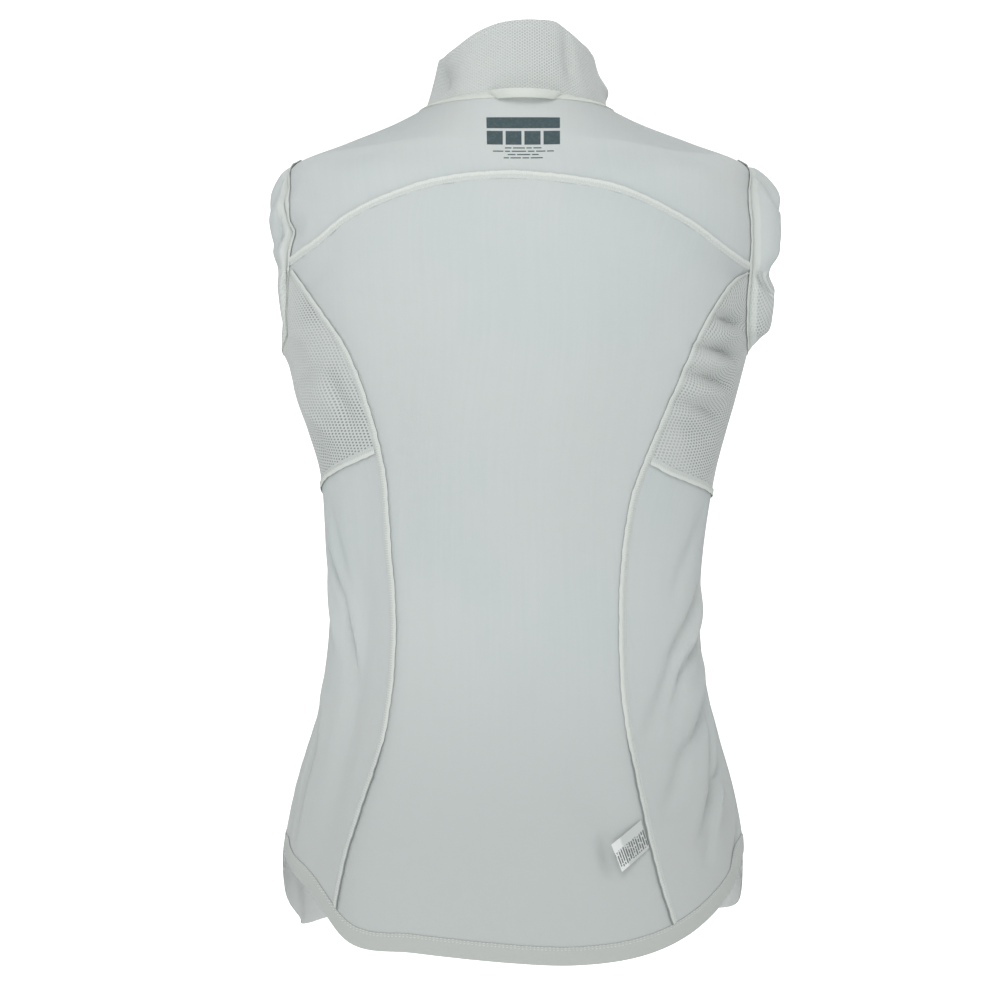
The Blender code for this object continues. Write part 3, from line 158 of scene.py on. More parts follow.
# --- folds in the cloth: a ridge (+) or trough (-) along a line ---
METRES_PER_DEGREE = 0.0026  # round the body, for measuring across seams and folds
Fold = namedtuple("Fold", "turn_from level_from turn_to level_to spread height")
FOLDS = table(
    Fold,
    # soft folds, which the frame's solids have too; all the others only show here
    (92, -0.375, 52, -0.5, 0.013, -0.003), (96, -0.415, 60, -0.575, 0.014, -0.0035),
    (76, -0.42, 45, -0.56, 0.012, 0.002), (104, -0.47, 80, -0.59, 0.014, 0.0025),
    (-50, -0.335, -44, -0.45, 0.014, -0.0025), (-78, -0.46, -58, -0.59, 0.014, 0.0025),
    (-92, -0.44, -72, -0.57, 0.013, -0.003), (52, -0.182, 88, -0.205, 0.011, -0.003),
    (48, -0.226, 80, -0.24, 0.011, -0.003), (-88, -0.16, -58, -0.19, 0.011, -0.003),
    (-80, -0.235, -50, -0.215, 0.012, 0.0022), (128, -0.3, 118, -0.48, 0.016, -0.003),
    (-128, -0.3, -118, -0.48, 0.016, -0.003), (150, -0.42, 140, -0.62, 0.018, 0.003),
    (-150, -0.42, -140, -0.62, 0.018, 0.003), (-109, -0.575, -109, -0.7, 0.016, -0.0085),
    (120, -0.15, 150, -0.22, 0.016, -0.003), (-120, -0.15, -150, -0.22, 0.016, -0.003),
    # right mesh panel: gathers that run in from the princess seam
    (49, -0.156, 68.5, -0.164, 0.004, -0.0078), (47, -0.168, 74, -0.1765, 0.0042, 0.0036),
    (42, -0.1785, 73, -0.1885, 0.004, -0.0074), (44, -0.189, 72, -0.199, 0.0045, 0.0036),
    (40, -0.1985, 70, -0.211, 0.0042, -0.0064), (42, -0.21, 70, -0.222, 0.005, 0.0032),
    (38, -0.2205, 68, -0.233, 0.0045, -0.0052), (40, -0.239, 66, -0.252, 0.0055, -0.0034),
    # left mesh panel, and the puckers that its armhole seam runs over
    (-102, -0.187, -54, -0.167, 0.006, 0.0026), (-92, -0.2, -60, -0.188, 0.008, -0.0024),
    (-52, -0.196, -46, -0.246, 0.008, -0.0042), (-74, -0.214, -52, -0.196, 0.006, -0.0034),
    (-72, -0.22, -52, -0.256, 0.007, 0.0026), (-76, -0.245, -62, -0.265, 0.006, -0.003),
    (-55, -0.093, -78, -0.1, 0.008, -0.0056), (-58, -0.077, -80, -0.079, 0.0048, 0.0022),
    # right side panel: long folds that run down and in from the waist
    (72, -0.296, 49, -0.38, 0.009, -0.0032), (86, -0.346, 46, -0.424, 0.006, -0.0063),
    (60, -0.39, 33, -0.485, 0.006, -0.0056), (86, -0.364, 54, -0.422, 0.006, 0.0041),
    (88, -0.381, 52, -0.437, 0.0048, -0.0063), (64, -0.406, 44, -0.466, 0.005, -0.0049),
    (88, -0.418, 46, -0.468, 0.007, 0.0041), (78, -0.442, 44, -0.496, 0.0048, -0.0061),
    (53, -0.474, 37, -0.536, 0.006, -0.0049), (75, -0.446, 56, -0.518, 0.004, -0.0056),
    (66, -0.49, 47, -0.564, 0.0048, -0.0061), (70, -0.5, 53, -0.558, 0.005, 0.0039),
    (82, -0.474, 54, -0.532, 0.004, -0.0061), (64, -0.506, 49, -0.576, 0.0048, -0.0056),
    (86, -0.536, 62, -0.58, 0.0045, -0.0044),
    # left side panel
    (-70, -0.293, -54, -0.38, 0.008, -0.0032), (-86, -0.312, -59, -0.38, 0.0055, -0.0068),
    (-63, -0.366, -52, -0.444, 0.005, -0.0075), (-82, -0.35, -60, -0.42, 0.0075, 0.0037),
    (-80, -0.428, -62, -0.49, 0.007, 0.0028), (-72, -0.448, -65, -0.566, 0.005, -0.0072),
    (-82, -0.464, -76, -0.57, 0.006, 0.0042), (-51, -0.33, -50, -0.57, 0.012, -0.0055),
    (-90, -0.5, -84, -0.6, 0.006, -0.0042),
    # back: broad dents that are hardly seen, and the pull of the care label
    (-26, -0.36, 10, -0.385, 0.016, -0.0018), (0, -0.44, 26, -0.43, 0.02, -0.0016),
    (12, -0.49, 30, -0.56, 0.016, -0.002), (-30, -0.54, -6, -0.575, 0.02, 0.0016),
    (-24, -0.13, -20, -0.29, 0.02, -0.0012), (30, -0.145, 24, -0.3, 0.02, -0.0012),
    (21, -0.542, 23, -0.58, 0.0052, -0.0054),
    # beside the yoke seam and on the yoke
    (-58, -0.138, -40, -0.098, 0.009, -0.0026), (-62, -0.07, -40, -0.03, 0.012, -0.002),
    (60, -0.07, 44, -0.02, 0.012, -0.002), (72, -0.045, 52, -0.015, 0.009, 0.0014),
    # fronts
    (118, -0.18, 140, -0.27, 0.01, -0.0028), (-118, -0.19, -142, -0.26, 0.01, -0.0028),
    (124, -0.33, 150, -0.41, 0.012, -0.0026), (-122, -0.34, -152, -0.4, 0.012, 0.0022),
    (130, -0.47, 124, -0.61, 0.01, 0.0026), (-132, -0.48, -126, -0.61, 0.01, -0.0028),
    (160, -0.36, 166, -0.56, 0.012, -0.002), (-160, -0.37, -165, -0.55, 0.012, 0.002),
)
PUCKER = 0.00035            # height of the ripples beside a seam
PUCKER_REACH = 0.0090
UPRIGHT_PHASE = 0.7
LEVEL_PHASE = 1.9
# an uneven ripple is these waves together, each starting at its own multiple of the seam's phase
Wave = namedtuple("Wave", "height length phases")
RIPPLE = table(Wave, (0.45, 0.0093, 1.0), (0.35, 0.0147, 2.3), (0.35, 0.0371, 3.1))

# --- stand collar ---
CollarTop = namedtuple("CollarTop", "turn height")
COLLAR_TOP = table(
    CollarTop,
    (-180, -0.006), (-150, 0.004), (-120, 0.024), (-90, 0.044), (-70, 0.0465), (-50, 0.0515), (-30, 0.0615),
    (-15, 0.0672), (0, 0.0697), (15, 0.0702), (30, 0.0688), (50, 0.0575), (70, 0.051), (90, 0.045),
    (120, 0.024), (150, 0.004), (180, -0.006),
)
COLLAR_LEFT = 0.0615        # half widths and depths of the top edge
COLLAR_RIGHT = 0.0605
COLLAR_BACK = 0.0610
COLLAR_FRONT = 0.0660
COLLAR_SQUARE = 2.1
Dent = namedtuple("Dent", "turn rise turn_spread rise_spread height")
COLLAR_DENTS = table(       # the frame's solids have the first four too
    Dent,
    (-54, 0.35, 10, 0.33, -0.0055), (-80, 0.45, 12, 0.4, 0.002), (96, 0.42, 16, 0.2, 0.0055),
    (50, 0.55, 14, 0.35, -0.002),
    (-70, 0.36, 12, 0.42, -0.0135), (-50, 0.12, 7, 0.22, -0.0024), (-20, 0.5, 9, 0.4, -0.0009),
    (37, 0.42, 5, 0.55, -0.0036), (46, 0.6, 7, 0.45, 0.0012), (72, 0.6, 9, 0.4, -0.0016),
    (-100, 0.6, 12, 0.4, -0.0018), (130, 0.5, 14, 0.4, -0.0018), (-140, 0.55, 14, 0.4, 0.0016),
)
COLLAR_ROLL_FROM = 0.975    # share of the height at which the top edge starts to roll over
COLLAR_ROLL_RISES = [0.985, 0.993, 0.998, 1.0]
COLLAR_ROLL = 0.0008
COLLAR_STITCH_ROWS = 3      # from where the roll starts down to the stitches

# --- sleeve: the lip that rolls out of the armhole, then the tube that hangs inside ---
# out: beyond the armhole; across and tall: the armhole loop's share that is left; drop: downwards
Lip = namedtuple("Lip", "out across tall drop")
SLEEVE_LIP = table(
    Lip,
    (0.01, 1.01, 0.98, 0), (0.0195, 0.985, 0.895, 0.001), (0.027, 0.905, 0.785, 0.003),
    (0.026, 0.815, 0.705, 0.004), (0.015, 0.745, 0.655, 0.005), (-0.004, 0.71, 0.64, 0.006),
)
# how far the lip stands out round the armhole, from 0 degrees at the shoulder tip
LipShare = namedtuple("LipShare", "angle left right")
LIP_SHARES = table(
    LipShare,
    (0, 0.55, 0.92), (60, 0.47, 0.87), (90, 0.4, 0.8), (120, 0.22, 0.72), (150, 0.12, 0.6),
    (165, 0.1, 0.32), (180, 0.1, 0.2),
)
LIP_PINCH = 0.0090          # the sleeve's own seams draw the lip in
PINCH_REACH = 0.0220
TUBE_MIDDLE = 0.0050        # Y of the hanging tube's middle
TUBE_SETTLES = 4            # rings it takes from the armhole's middle to there
Tube = namedtuple("Tube", "inner_x inner_z outer_x outer_z half_width")
SLEEVE_TUBE = table(
    Tube,
    (0.15, -0.0665, 0.16, -0.163, 0.036), (0.128, -0.0745, 0.158, -0.173, 0.041),
    (0.11, -0.094, 0.157, -0.186, 0.048), (0.1, -0.125, 0.157, -0.204, 0.056),
    (0.097, -0.165, 0.155, -0.229, 0.061), (0.095, -0.21, 0.149, -0.262, 0.063),
    (0.091, -0.26, 0.137, -0.3, 0.061), (0.087, -0.31, 0.127, -0.34, 0.058),
    (0.085, -0.36, 0.122, -0.38, 0.055), (0.086, -0.41, 0.122, -0.42, 0.053),
    (0.091, -0.46, 0.126, -0.465, 0.051), (0.098, -0.51, 0.133, -0.512, 0.049),
    (0.105, -0.552, 0.139, -0.552, 0.047),
)
# here a fold's turn is the angle round the ring, and its level the ring, from 0 at the armhole
SLEEVE_FOLDS = {
    "left": table(
        Fold,
        (-20, 0.4, -44, 2.6, 0.004, -0.003), (-58, 0.4, -84, 2.6, 0.004, -0.004),
        (-98, 0.4, -112, 2.6, 0.005, 0.003), (36, 0.6, 60, 2.6, 0.005, -0.0034),
        (90, 0.6, 104, 2.6, 0.005, -0.0034),
    ),
    "right": table(
        Fold,
        (-10, -0.2, -43, 3.5, 0.006, -0.0075), (-30, 0, -58, 2.6, 0.004, 0.0022),
        (-96, 0.4, -122, 3.4, 0.004, -0.006), (-134, 0.4, -150, 3, 0.005, 0.0024),
        (30, 0.6, 70, 2.6, 0.005, -0.004), (100, 0.6, 120, 2.6, 0.005, -0.004),
    ),
}
METRES_PER_RING = 0.0090
METRES_PER_SLEEVE_DEGREE = 0.0011
SLEEVE_LENGTHS = ("lip", "upper", "elbow", "forearm")   # the solids that each sleeve cloth stands for

# --- hanger loop and care label, on the outside of the back ---
LOOP_TOP = (-18.1, 28.0)    # turns of the ends of its two long edges
LOOP_BOTTOM = (-10.7, 19.9)
LOOP_BOTTOM_LEVEL = 0.0072
LOOP_SEAT = LIFT + TRIM_WALL + LIFT
LOOP_BOW_BOTTOM = 0.0070    # how far the middle of each long edge stands off the neck tape
LOOP_BOW_TOP = 0.0100
LOOP_BOW_BLUNTNESS = 0.7
LABEL_SEAM = (Spot(32.6, -0.5569), Spot(31.1, -0.5361))     # ends of its edges, the lower one first
LABEL_FREE = (Spot(24.8, -0.5739), Spot(22.7, -0.5538))
LABEL_SEAT = 0.0007
LABEL_RISE = 0.0045
LABEL_CURL = 1.6            # how late the rise comes, towards the free end
LABEL_TWIST = 0.4           # share of the rise that its top corner lacks
RIM_SHARE = 0.6             # share of the thickness that is left at the rim of both

# --- how finely the cloth is divided, in cells of the solids' own panels ---
FINER_ACROSS = 5
FINER_DOWN = 8
BACK_COLUMNS = 18 * FINER_ACROSS
SIDE_COLUMNS = 11 * FINER_ACROSS
FRONT_COLUMNS = 9 * FINER_ACROSS
LOWER_ROWS = 13 * FINER_DOWN
MESH_ROWS = 6 * FINER_DOWN
BODY_ROWS = LOWER_ROWS + MESH_ROWS
ARMHOLE_BACK_ROWS = 4 * FINER_DOWN
TIP_ROW = BODY_ROWS + 5 * FINER_DOWN        # of a front panel, where its shoulder starts
SHOULDER_ROWS = 3 * FINER_DOWN
COLLAR_ROWS = 4 * FINER_DOWN
ROWS_PER_SLEEVE_RING = 6
LOOP_CELLS = (48, 8)        # along and across
LABEL_CELLS = (30, 20)
STRIP_COLUMNS = 8
STRIP_STEP = 0.0028         # between the points along a strip
REACH_CELLS = 14            # cells that a strip may reach over, inwards from its panel's edge
FAN_STEP = 12               # degrees between the lines that fan out round a corner
SHARP_ANGLE = math.radians(40)
TURN_STEP = 1.0             # to either side of a place, for finding the direction off its surface
LEVEL_STEP = 0.002
RISE_STEP = 0.05

# --- strips: the allowances, the hem's turn-up and the tapes ---
UNDER_EDGE = 0.0011         # how far on a strip's underside lies in its finish
SEAM_WAVE = 0.00035         # how uneven a strip's cut edge is, and how far it curls off the cloth
SEAM_CURL = 0.00035
ARMHOLE_WAVE = 0.0004
ARMHOLE_CURL = 0.00025
HEM_WAVE = 0.0002
HEM_PHASE = 2.2
CURL_WAVE = 0.6             # share of the curl that comes and goes
CURL_PHASE = 1.3
TAPE_LIFT = 0.00005         # of the neck tape, which lies flat
TAPE_WAVE = 0.00015
OVER_SEAM = -0.0006         # a strip's other edge lies just over its seam
SEATED = 0.15               # share of a strip's lift and thickness that is left at its seam
SEATED_REACH = 0.25         # share of its width over which it rises from there
FILLS_BY = 0.7              # powers of the width's share by which it fills out and thins again
THINS_BY = 12
THINNED = 0.2
# out: how much wider the armhole's allowance is, along it from the yoke's corner up and over;
# rise: the share of its height that it has there
EdgeDrift = namedtuple("EdgeDrift", "along out rise")
ARMHOLE_EDGE = {
    "left": table(
        EdgeDrift,
        (0, -0.0006, 0.6), (0.008, 0.0008, 1), (0.02, 0.0022, 1), (0.028, 0.0008, 1), (0.038, -0.0018, 1),
        (0.046, 0.0016, 1), (0.052, 0.0034, 1), (0.058, 0.0014, 1), (0.066, -0.0004, 1), (0.08, 0.0006, 1),
        (0.095, 0, 1.3), (0.105, 0.0008, 2.4), (0.116, 0, 1), (0.22, 0, 1), (0.26, -0.003, 0.4),
        (0.37, -0.0034, 0.3), (0.385, -0.0014, 0.6),
    ),
    "right": table(
        EdgeDrift,
        (0, 0.0016, 1), (0.006, 0.0022, 1), (0.014, 0, 1), (0.024, -0.0006, 1), (0.036, 0, 1),
        (0.047, 0.002, 1), (0.056, 0.0018, 1), (0.064, 0.0002, 1), (0.076, -0.0004, 1),
        (0.092, 0.0004, 1.3), (0.104, 0.0008, 2.4), (0.115, 0, 1), (0.234, 0, 1), (0.255, -0.003, 0.4),
        (0.302, -0.003, 0.4), (0.318, 0.002, 0.8), (0.338, 0.0008, 1), (0.36, 0.002, 1), (0.377, 0.0016, 1),
    ),
}
ARMHOLE_PHASE = {"left": 0.4, "right": 2.9}

# --- neck print, stitches and zip teeth ---
PRINT_LEFT = -0.0235
PRINT_RIGHT = 0.0315
PRINT_TOP = -0.0070
PRINT_BAR = 0.0088
PRINT_SPACE = 0.0022
PRINT_SQUARES = 4
PRINT_SQUARE = 0.0108
PRINT_DASHES = [(0.005, 0.009, 0.004, 0.006), (0.008, 0.004, 0.011, 0.005, 0.007, 0.005),
                (0.006, 0.010, 0.005), (0.004, 0.008, 0.005, 0.009)]
PRINT_DASH = 0.0008
PRINT_DASH_GAP = 0.0012
PRINT_DASH_PITCH = 0.0026
PRINT_CELL = 0.0030
PRINT_LIFT = 0.00008
# long, wide and high; slant: degrees from the way across the row
Bead = namedtuple("Bead", "pitch size slant unevenness")
OVERLOCK_BEAD = Bead(0.0019, (0.0046, 0.0006, 0.0003), 18.0, 0.12)
COVER_BEAD = Bead(0.0029, (0.0018, 0.0006, 0.0004), 90.0, 0.12)
TOOTH_BEAD = Bead(0.0017, (0.0027, 0.0011, 0.0013), 0.0, 0.0)
TOOTH_OUT = 0.0008          # from the tape's edge to the middle of a tooth
OVERLOCK_AT = 0.55          # shares of a strip's width that its stitches lie at
YOKE_STITCHES = (0.15, 0.55)
HEM_STITCHES = (0.84, 0.97)
LOOP_STITCHES = (0.2, 0.8)
ZIP_STITCHES = 0.86
MERGE_DISTANCE = 0.00001
ZIP_ROUNDING = 0.0002

# --- finishes: sizes ---
SHINE = 0.3
SHEEN_SPREAD = 0.5
NAP_SCALE = 1400.0          # the fine nap of brushed yarn
NAP_DEPTH = 0.00012
KNIT_WALE = 0.0011
KNIT_COURSE = 0.0008
PAINTED_SHADE_TOP = -0.36       # Z from which painted shade darkens the cloth, fully by the next Z
PAINTED_SHADE_BOTTOM = -0.56
BACK_SIDE = 10.0            # how far on the other side of the knit lies in its finish
BAND_EDGE = 0.0016
ARMHOLE_BAND = 0.0068       # width of the pale band of cloth beside a sleeve's armhole seam
MESH_PITCH = 0.0024
MESH_HOLE_SHADE_STRENGTH = 0.9         # how dark the painted shade in the mesh's holes is
COLLAR_HOLE_SHADE_STRENGTH = 0.26
HOLES_FADE = 0.018          # over which the painted shade in the holes fades out beyond the places along X
# places along X between which the mesh's holes show painted shade
SIDE_HOLES = (-0.157, 0.300)
COLLAR_HOLES = (-0.014, 0.034)
SIDE_SQUEEZE = 0.62         # round the body the holes stand wider apart than up it
SLEEVE_SQUEEZE = 0.8
COLLAR_SQUEEZE = 1.1
THREAD_PITCH = 0.0019
THREAD_TWIST = 0.0004
HIGHLIGHT_FROM = -0.0026        # from a strip's cut edge inwards, where the painted highlight on its pale ridge starts and is full
HIGHLIGHT_TO = -0.0011
HIGHLIGHT_WAVE = 0.0016
EDGE_FROM = 0.0006          # over the cut edge, where the painted shadow on its rim and underside starts and is full
EDGE_TO = 0.0011
EDGE_WAVE = 0.0006
EDGE_ON_TOP = -0.455        # Z from which the allowances are painted as standing on edge, with wider painted shadow and weaker painted highlight, fully by the next Z
EDGE_ON_BOTTOM = -0.505
EDGE_ON_WIDTH = 0.0017      # how much wider the painted shadow is there
TAPE_PITCH = 0.0010
LABEL_LINE_PITCH = 0.0021
LABEL_DASH_SCALE = 620.0
LABEL_ROW_SHIFT = 7.3       # so that no two rows have the same dashes
LABEL_MARGIN = 0.0020
LABEL_HEIGHT = 0.0170
LABEL_EDGE = 0.0005         # over which the dashes end
LABEL_FOLD_FROM = 0.0055    # along the label, where its folded free end starts to look paler and is palest
LABEL_FOLD_TO = 0.0085
LABEL_THREAD = 0.0005

# --- finishes: colours ---
# each: cool, warm and pale tones, then the painted shade that the cloth turns to low down
KNIT_COLOURS = ((0.66, 0.71, 0.71), (0.69, 0.72, 0.71), (0.74, 0.77, 0.76), (0.605, 0.635, 0.625))
HEM_COLOURS = ((0.585, 0.605, 0.585), (0.62, 0.635, 0.605), (0.67, 0.685, 0.655), (0.585, 0.605, 0.585))
# the knit's other side: its paler right side, made brighter still as painted light for the jacket's shaded
# inside
KNIT_INSIDE_PAINTED_LIGHT = (0.93, 0.95, 0.94)
BAND_CREAM = (0.76, 0.79, 0.765)
MESH_COOL = (0.64, 0.67, 0.66)
MESH_WARM = (0.68, 0.70, 0.68)
HOLE_PAINTED_SHADE = (0.26, 0.29, 0.28)
TRIM_CREAM = (0.67, 0.70, 0.68)
# pale thread along the ridge, with a painted highlight
TRIM_PALE_HIGHLIGHT = (0.78, 0.805, 0.77)
TRIM_SHADE = (0.66, 0.69, 0.665)
# painted shadow over the allowances' cut edges, lighter at the armholes
TRIM_PAINTED_SHADOW = (0.27, 0.30, 0.29)
ARMHOLE_PAINTED_SHADOW = (0.50, 0.54, 0.52)
TAPE_CREAM = (0.82, 0.84, 0.79)
TAPE_PALE = (0.88, 0.90, 0.86)
TAPE_SHADE = (0.74, 0.77, 0.72)
THREAD_CREAM = (0.80, 0.82, 0.78)
THREAD_PALE = (0.86, 0.88, 0.84)
SATIN_WHITE = (0.88, 0.90, 0.89)
SATIN_GREY = (0.64, 0.67, 0.66)
SATIN_INK = (0.10, 0.11, 0.11)
INK_SLATE = (0.060, 0.095, 0.105)
INK_WORN = (0.085, 0.120, 0.130)
PLASTIC_WHITE = (0.86, 0.87, 0.84)
PLASTIC_CREAM = (0.82, 0.83, 0.79)

# --- stage, lights and camera ---
STAGE_RADIUS = 12.0
FLOOR_LEVEL = -1.0
FLOOR_GLOW = 0.9
STAGE_COLOUR = (0.9, 0.9, 0.9, 1.0)
STAGE_ROUGHNESS = 0.9
ROOM_COLOUR = (0.97, 1.0, 0.995, 1.0)
ROOM_LIGHT = 0.655
Lamp = namedtuple("Lamp", "name place size power")
LAMPS = table(
    Lamp,
    ("key_light", (-0.05, -1.0, 0.5), 0.6, 3.5),
    ("low_light", (0.0, -1.4, -1.4), 1.2, 5.0),
    ("left_light", (-2.2, -0.6, -0.5), 0.8, 3.0),
    ("front_light", (0.4, 2.6, 1.2), 2.0, 14.0),
)
LIT_POINT = (0.0, 0.0, -0.30)
CAMERA_PLACE = (-0.0133, -2.6, -0.2964)
CAMERA_TARGET = (-0.0133, 0.0, -0.2964)
CAMERA_LENS = 120.0
CAMERA_SENSOR = 36.0


# --- smooth tables and lines ---
def smooth(places, values, at):
    """Values on the smooth curve through the table, held level beyond its ends."""
    places, values = np.asarray(places, float), np.asarray(values, float)
    at = np.clip(at, places[0], places[-1])
    order = np.arange(len(places))
    after, before = np.minimum(order + 1, order[-1]), np.maximum(order - 1, 0)
    wide = (slice(None),) + (None,) * (values.ndim - 1)
    slopes = (values[after] - values[before]) / (places[after] - places[before])[wide]
    i = np.clip(np.searchsorted(places, at, "right") - 1, 0, len(places) - 2)
    spread = (...,) + (None,) * (values.ndim - 1)
    span = (places[i + 1] - places[i])[spread]
    t = (at - places[i])[spread] / span
    return ((1 + 2 * t) * (1 - t) ** 2 * values[i] + t * (1 - t) ** 2 * span * slopes[i]
            + t * t * (3 - 2 * t) * values[i + 1] + t * t * (t - 1) * span * slopes[i + 1])


def look_up(rows, name, at):
    """A column of a table, smooth along the table's first column."""
    return smooth([row[0] for row in rows], [getattr(row, name) for row in rows], at)


def blend(first, last, share):
    """A share of the way from the first value to the last."""
    return first + (last - first) * share


def distances(line):
    """Distance along a line of spots, from 0 at its start."""
    steps = np.diff(line, axis=0) * (METRES_PER_DEGREE, 1.0)
    return np.concatenate([[0.0], np.cumsum(np.hypot(steps[:, 0], steps[:, 1]))])


def sample(spots, count, first=0, last=-1):
    """Evenly spaced spots along the smooth line, from one of its rows to another, either way round."""
    spots = np.array(spots)
    along = distances(spots)
    return smooth(along, spots, np.linspace(along[first], along[last], count + 1))


def straight(first, last, count):
    return np.linspace(first, last, count + 1)


def join(*lines):
    """Lines end to end; each one starts at the last spot of the one before it."""
    return np.concatenate([lines[0]] + [line[1:] for line in lines[1:]])


def ripple(along, phase):
    """Uneven ripple between about -1 and 1 along a length in metres."""
    return sum(wave.height * np.sin(along * math.tau / wave.length + wave.phases * phase) for wave in RIPPLE)


def folded(folds, turn, level, metres_per_turn, metres_per_level=1.0):
    """Height of the cloth over a table of folds."""
    total = 0.0
    for fold in folds:
        run_x = (fold.turn_to - fold.turn_from) * metres_per_turn
        run_y = (fold.level_to - fold.level_from) * metres_per_level
        length = math.hypot(run_x, run_y)
        x, y = (turn - fold.turn_from) * metres_per_turn, (level - fold.level_from) * metres_per_level
        along = (x * run_x + y * run_y) / length ** 2
        across = (x * run_y - y * run_x) / length
        total = total + (fold.height * np.sin(math.pi * np.clip(along, 0, 1))
                         * np.exp(-(across / fold.spread) ** 2))
    return total


# --- the body's surface ---
def unit(vectors):
    return vectors / np.maximum(np.linalg.norm(vectors, axis=-1, keepdims=True), 1e-12)


def squared(turn, square):
    """Sine and cosine on a rounded square instead of a circle."""
    s, c = np.sin(np.radians(turn)), np.cos(np.radians(turn))
    reach = (abs(s) ** square + abs(c) ** square) ** (-1 / square)
    return s * reach, c * reach


def bare_skin(turn, level):
    """Points of the body's surface, without the folds."""
    ring = BodyRing(*(look_up(BODY_RINGS, name, level) for name in BodyRing._fields))
    s, c = squared(turn, ring.square)
    half_width = np.where(s > 0, ring.right, ring.left)
    depth = np.where(c > 0, ring.back, ring.front)
    rise_middle = np.where(c > 0, 0.0, ring.rise_front)
    height = level + blend(ring.rise_side, rise_middle, np.cos(np.radians(turn)) ** 2)
    return np.stack([half_width * s, -depth * c, height], axis=-1)


def normals_from(surface, a, b, step_a, step_b, lowest_b, highest_b):
    """Outward directions of surface(a, b), from points on either side."""
    across = surface(a + step_a, b) - surface(a - step_a, b)
    up = surface(a, np.minimum(b + step_b, highest_b)) - surface(a, np.maximum(b - step_b, lowest_b))
    return unit(np.cross(across, up))


def skin_normal(turn, level):
    return normals_from(bare_skin, turn, level, TURN_STEP, LEVEL_STEP, BODY_RINGS[0].level, NECK_LEVEL)


def skin(turn, level):
    """Points of the body's surface, with the folds."""
    height = folded(FOLDS, turn, level, METRES_PER_DEGREE)
    return bare_skin(turn, level) + skin_normal(turn, level) * height[..., None]


def turn_at(x, level):
    """Turn of a place that lies x to the right on the body."""
    return np.degrees(np.arcsin(x / look_up(BODY_RINGS, "right", level)))


def collar(turn, rise):
    """Points of the collar's outer face: rise 0 at the neck seam, 1 at the top edge."""
    turn, rise = np.broadcast_arrays(np.asarray(turn, float), np.asarray(rise, float))
    base = bare_skin(turn, np.full(turn.shape, NECK_LEVEL)) + (0, 0, SEAM_GAP)
    s, c = squared(turn, COLLAR_SQUARE)
    half_width = np.where(s > 0, COLLAR_RIGHT, COLLAR_LEFT)
    depth = np.where(c > 0, COLLAR_BACK, COLLAR_FRONT)
    top = np.stack([half_width * s, -depth * c, look_up(COLLAR_TOP, "height", turn)], axis=-1)
    point = blend(base, top, rise[..., None])
    out = unit(np.stack([s, -c, np.zeros_like(s)], axis=-1))
    for dent in COLLAR_DENTS:
        reach = ((turn - dent.turn) / dent.turn_spread) ** 2 + ((rise - dent.rise) / dent.rise_spread) ** 2
        fade = np.sin(math.pi / 2 * np.clip(rise / dent.rise, 0, 1))
        point = point + out * (dent.height * fade * np.exp(-reach))[..., None]
    return point


# --- grids of cloth ---
def grid_normals(points):
    """Direction off each point of a grid, from its neighbours."""
    return unit(np.cross(np.gradient(points, axis=1), np.gradient(points, axis=0)))


def lengths_along(points, axis):
    """Length along the rows (axis 1) or up the columns (axis 0) of a grid, from 0 at the start."""
    steps = np.linalg.norm(np.diff(points, axis=axis), axis=-1)
    start = np.zeros_like(np.take(steps, [0], axis=axis))
    return np.concatenate([start, np.cumsum(steps, axis=axis)], axis=axis)


def cloth_coordinates(points):
    """UV in metres of cloth, from the middle column and the bottom row."""
    across = lengths_along(points, 1)
    middle = across[:, [points.shape[1] // 2]]
    return np.stack([across - middle, lengths_along(points, 0)], axis=-1)


def drawn_in(points, distance):
    """The grid with its edge moved in, so that a seam gap is left."""
    grid = points.copy()
    grid[0] += unit(points[1] - points[0]) * distance
    grid[-1] += unit(points[-2] - points[-1]) * distance
    grid[:, 0] += unit(points[:, 1] - points[:, 0]) * distance
    grid[:, -1] += unit(points[:, -2] - points[:, -1]) * distance
    return grid


def shaded(mesh, shape):
    """The mesh of an edited shape, shaded smooth but for its sharp edges."""
    bmesh.ops.recalc_face_normals(shape, faces=shape.faces)
    shape.to_mesh(mesh)
    shape.free()
    mesh.shade_smooth()
    mesh.set_sharp_from_angle(angle=SHARP_ANGLE)
    return mesh


def add_piece(mesh, material, nodes=(), body="jacket"):
    """A mesh as a piece that rides on a body and stands for some of its solids."""
    mesh.materials.clear()
    mesh.materials.append(material)
    piece = bpy.data.objects.new(mesh.name, mesh)
    bpy.context.scene.collection.objects.link(piece)
    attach(piece, body)
    if nodes:
        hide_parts(*nodes)
    return piece


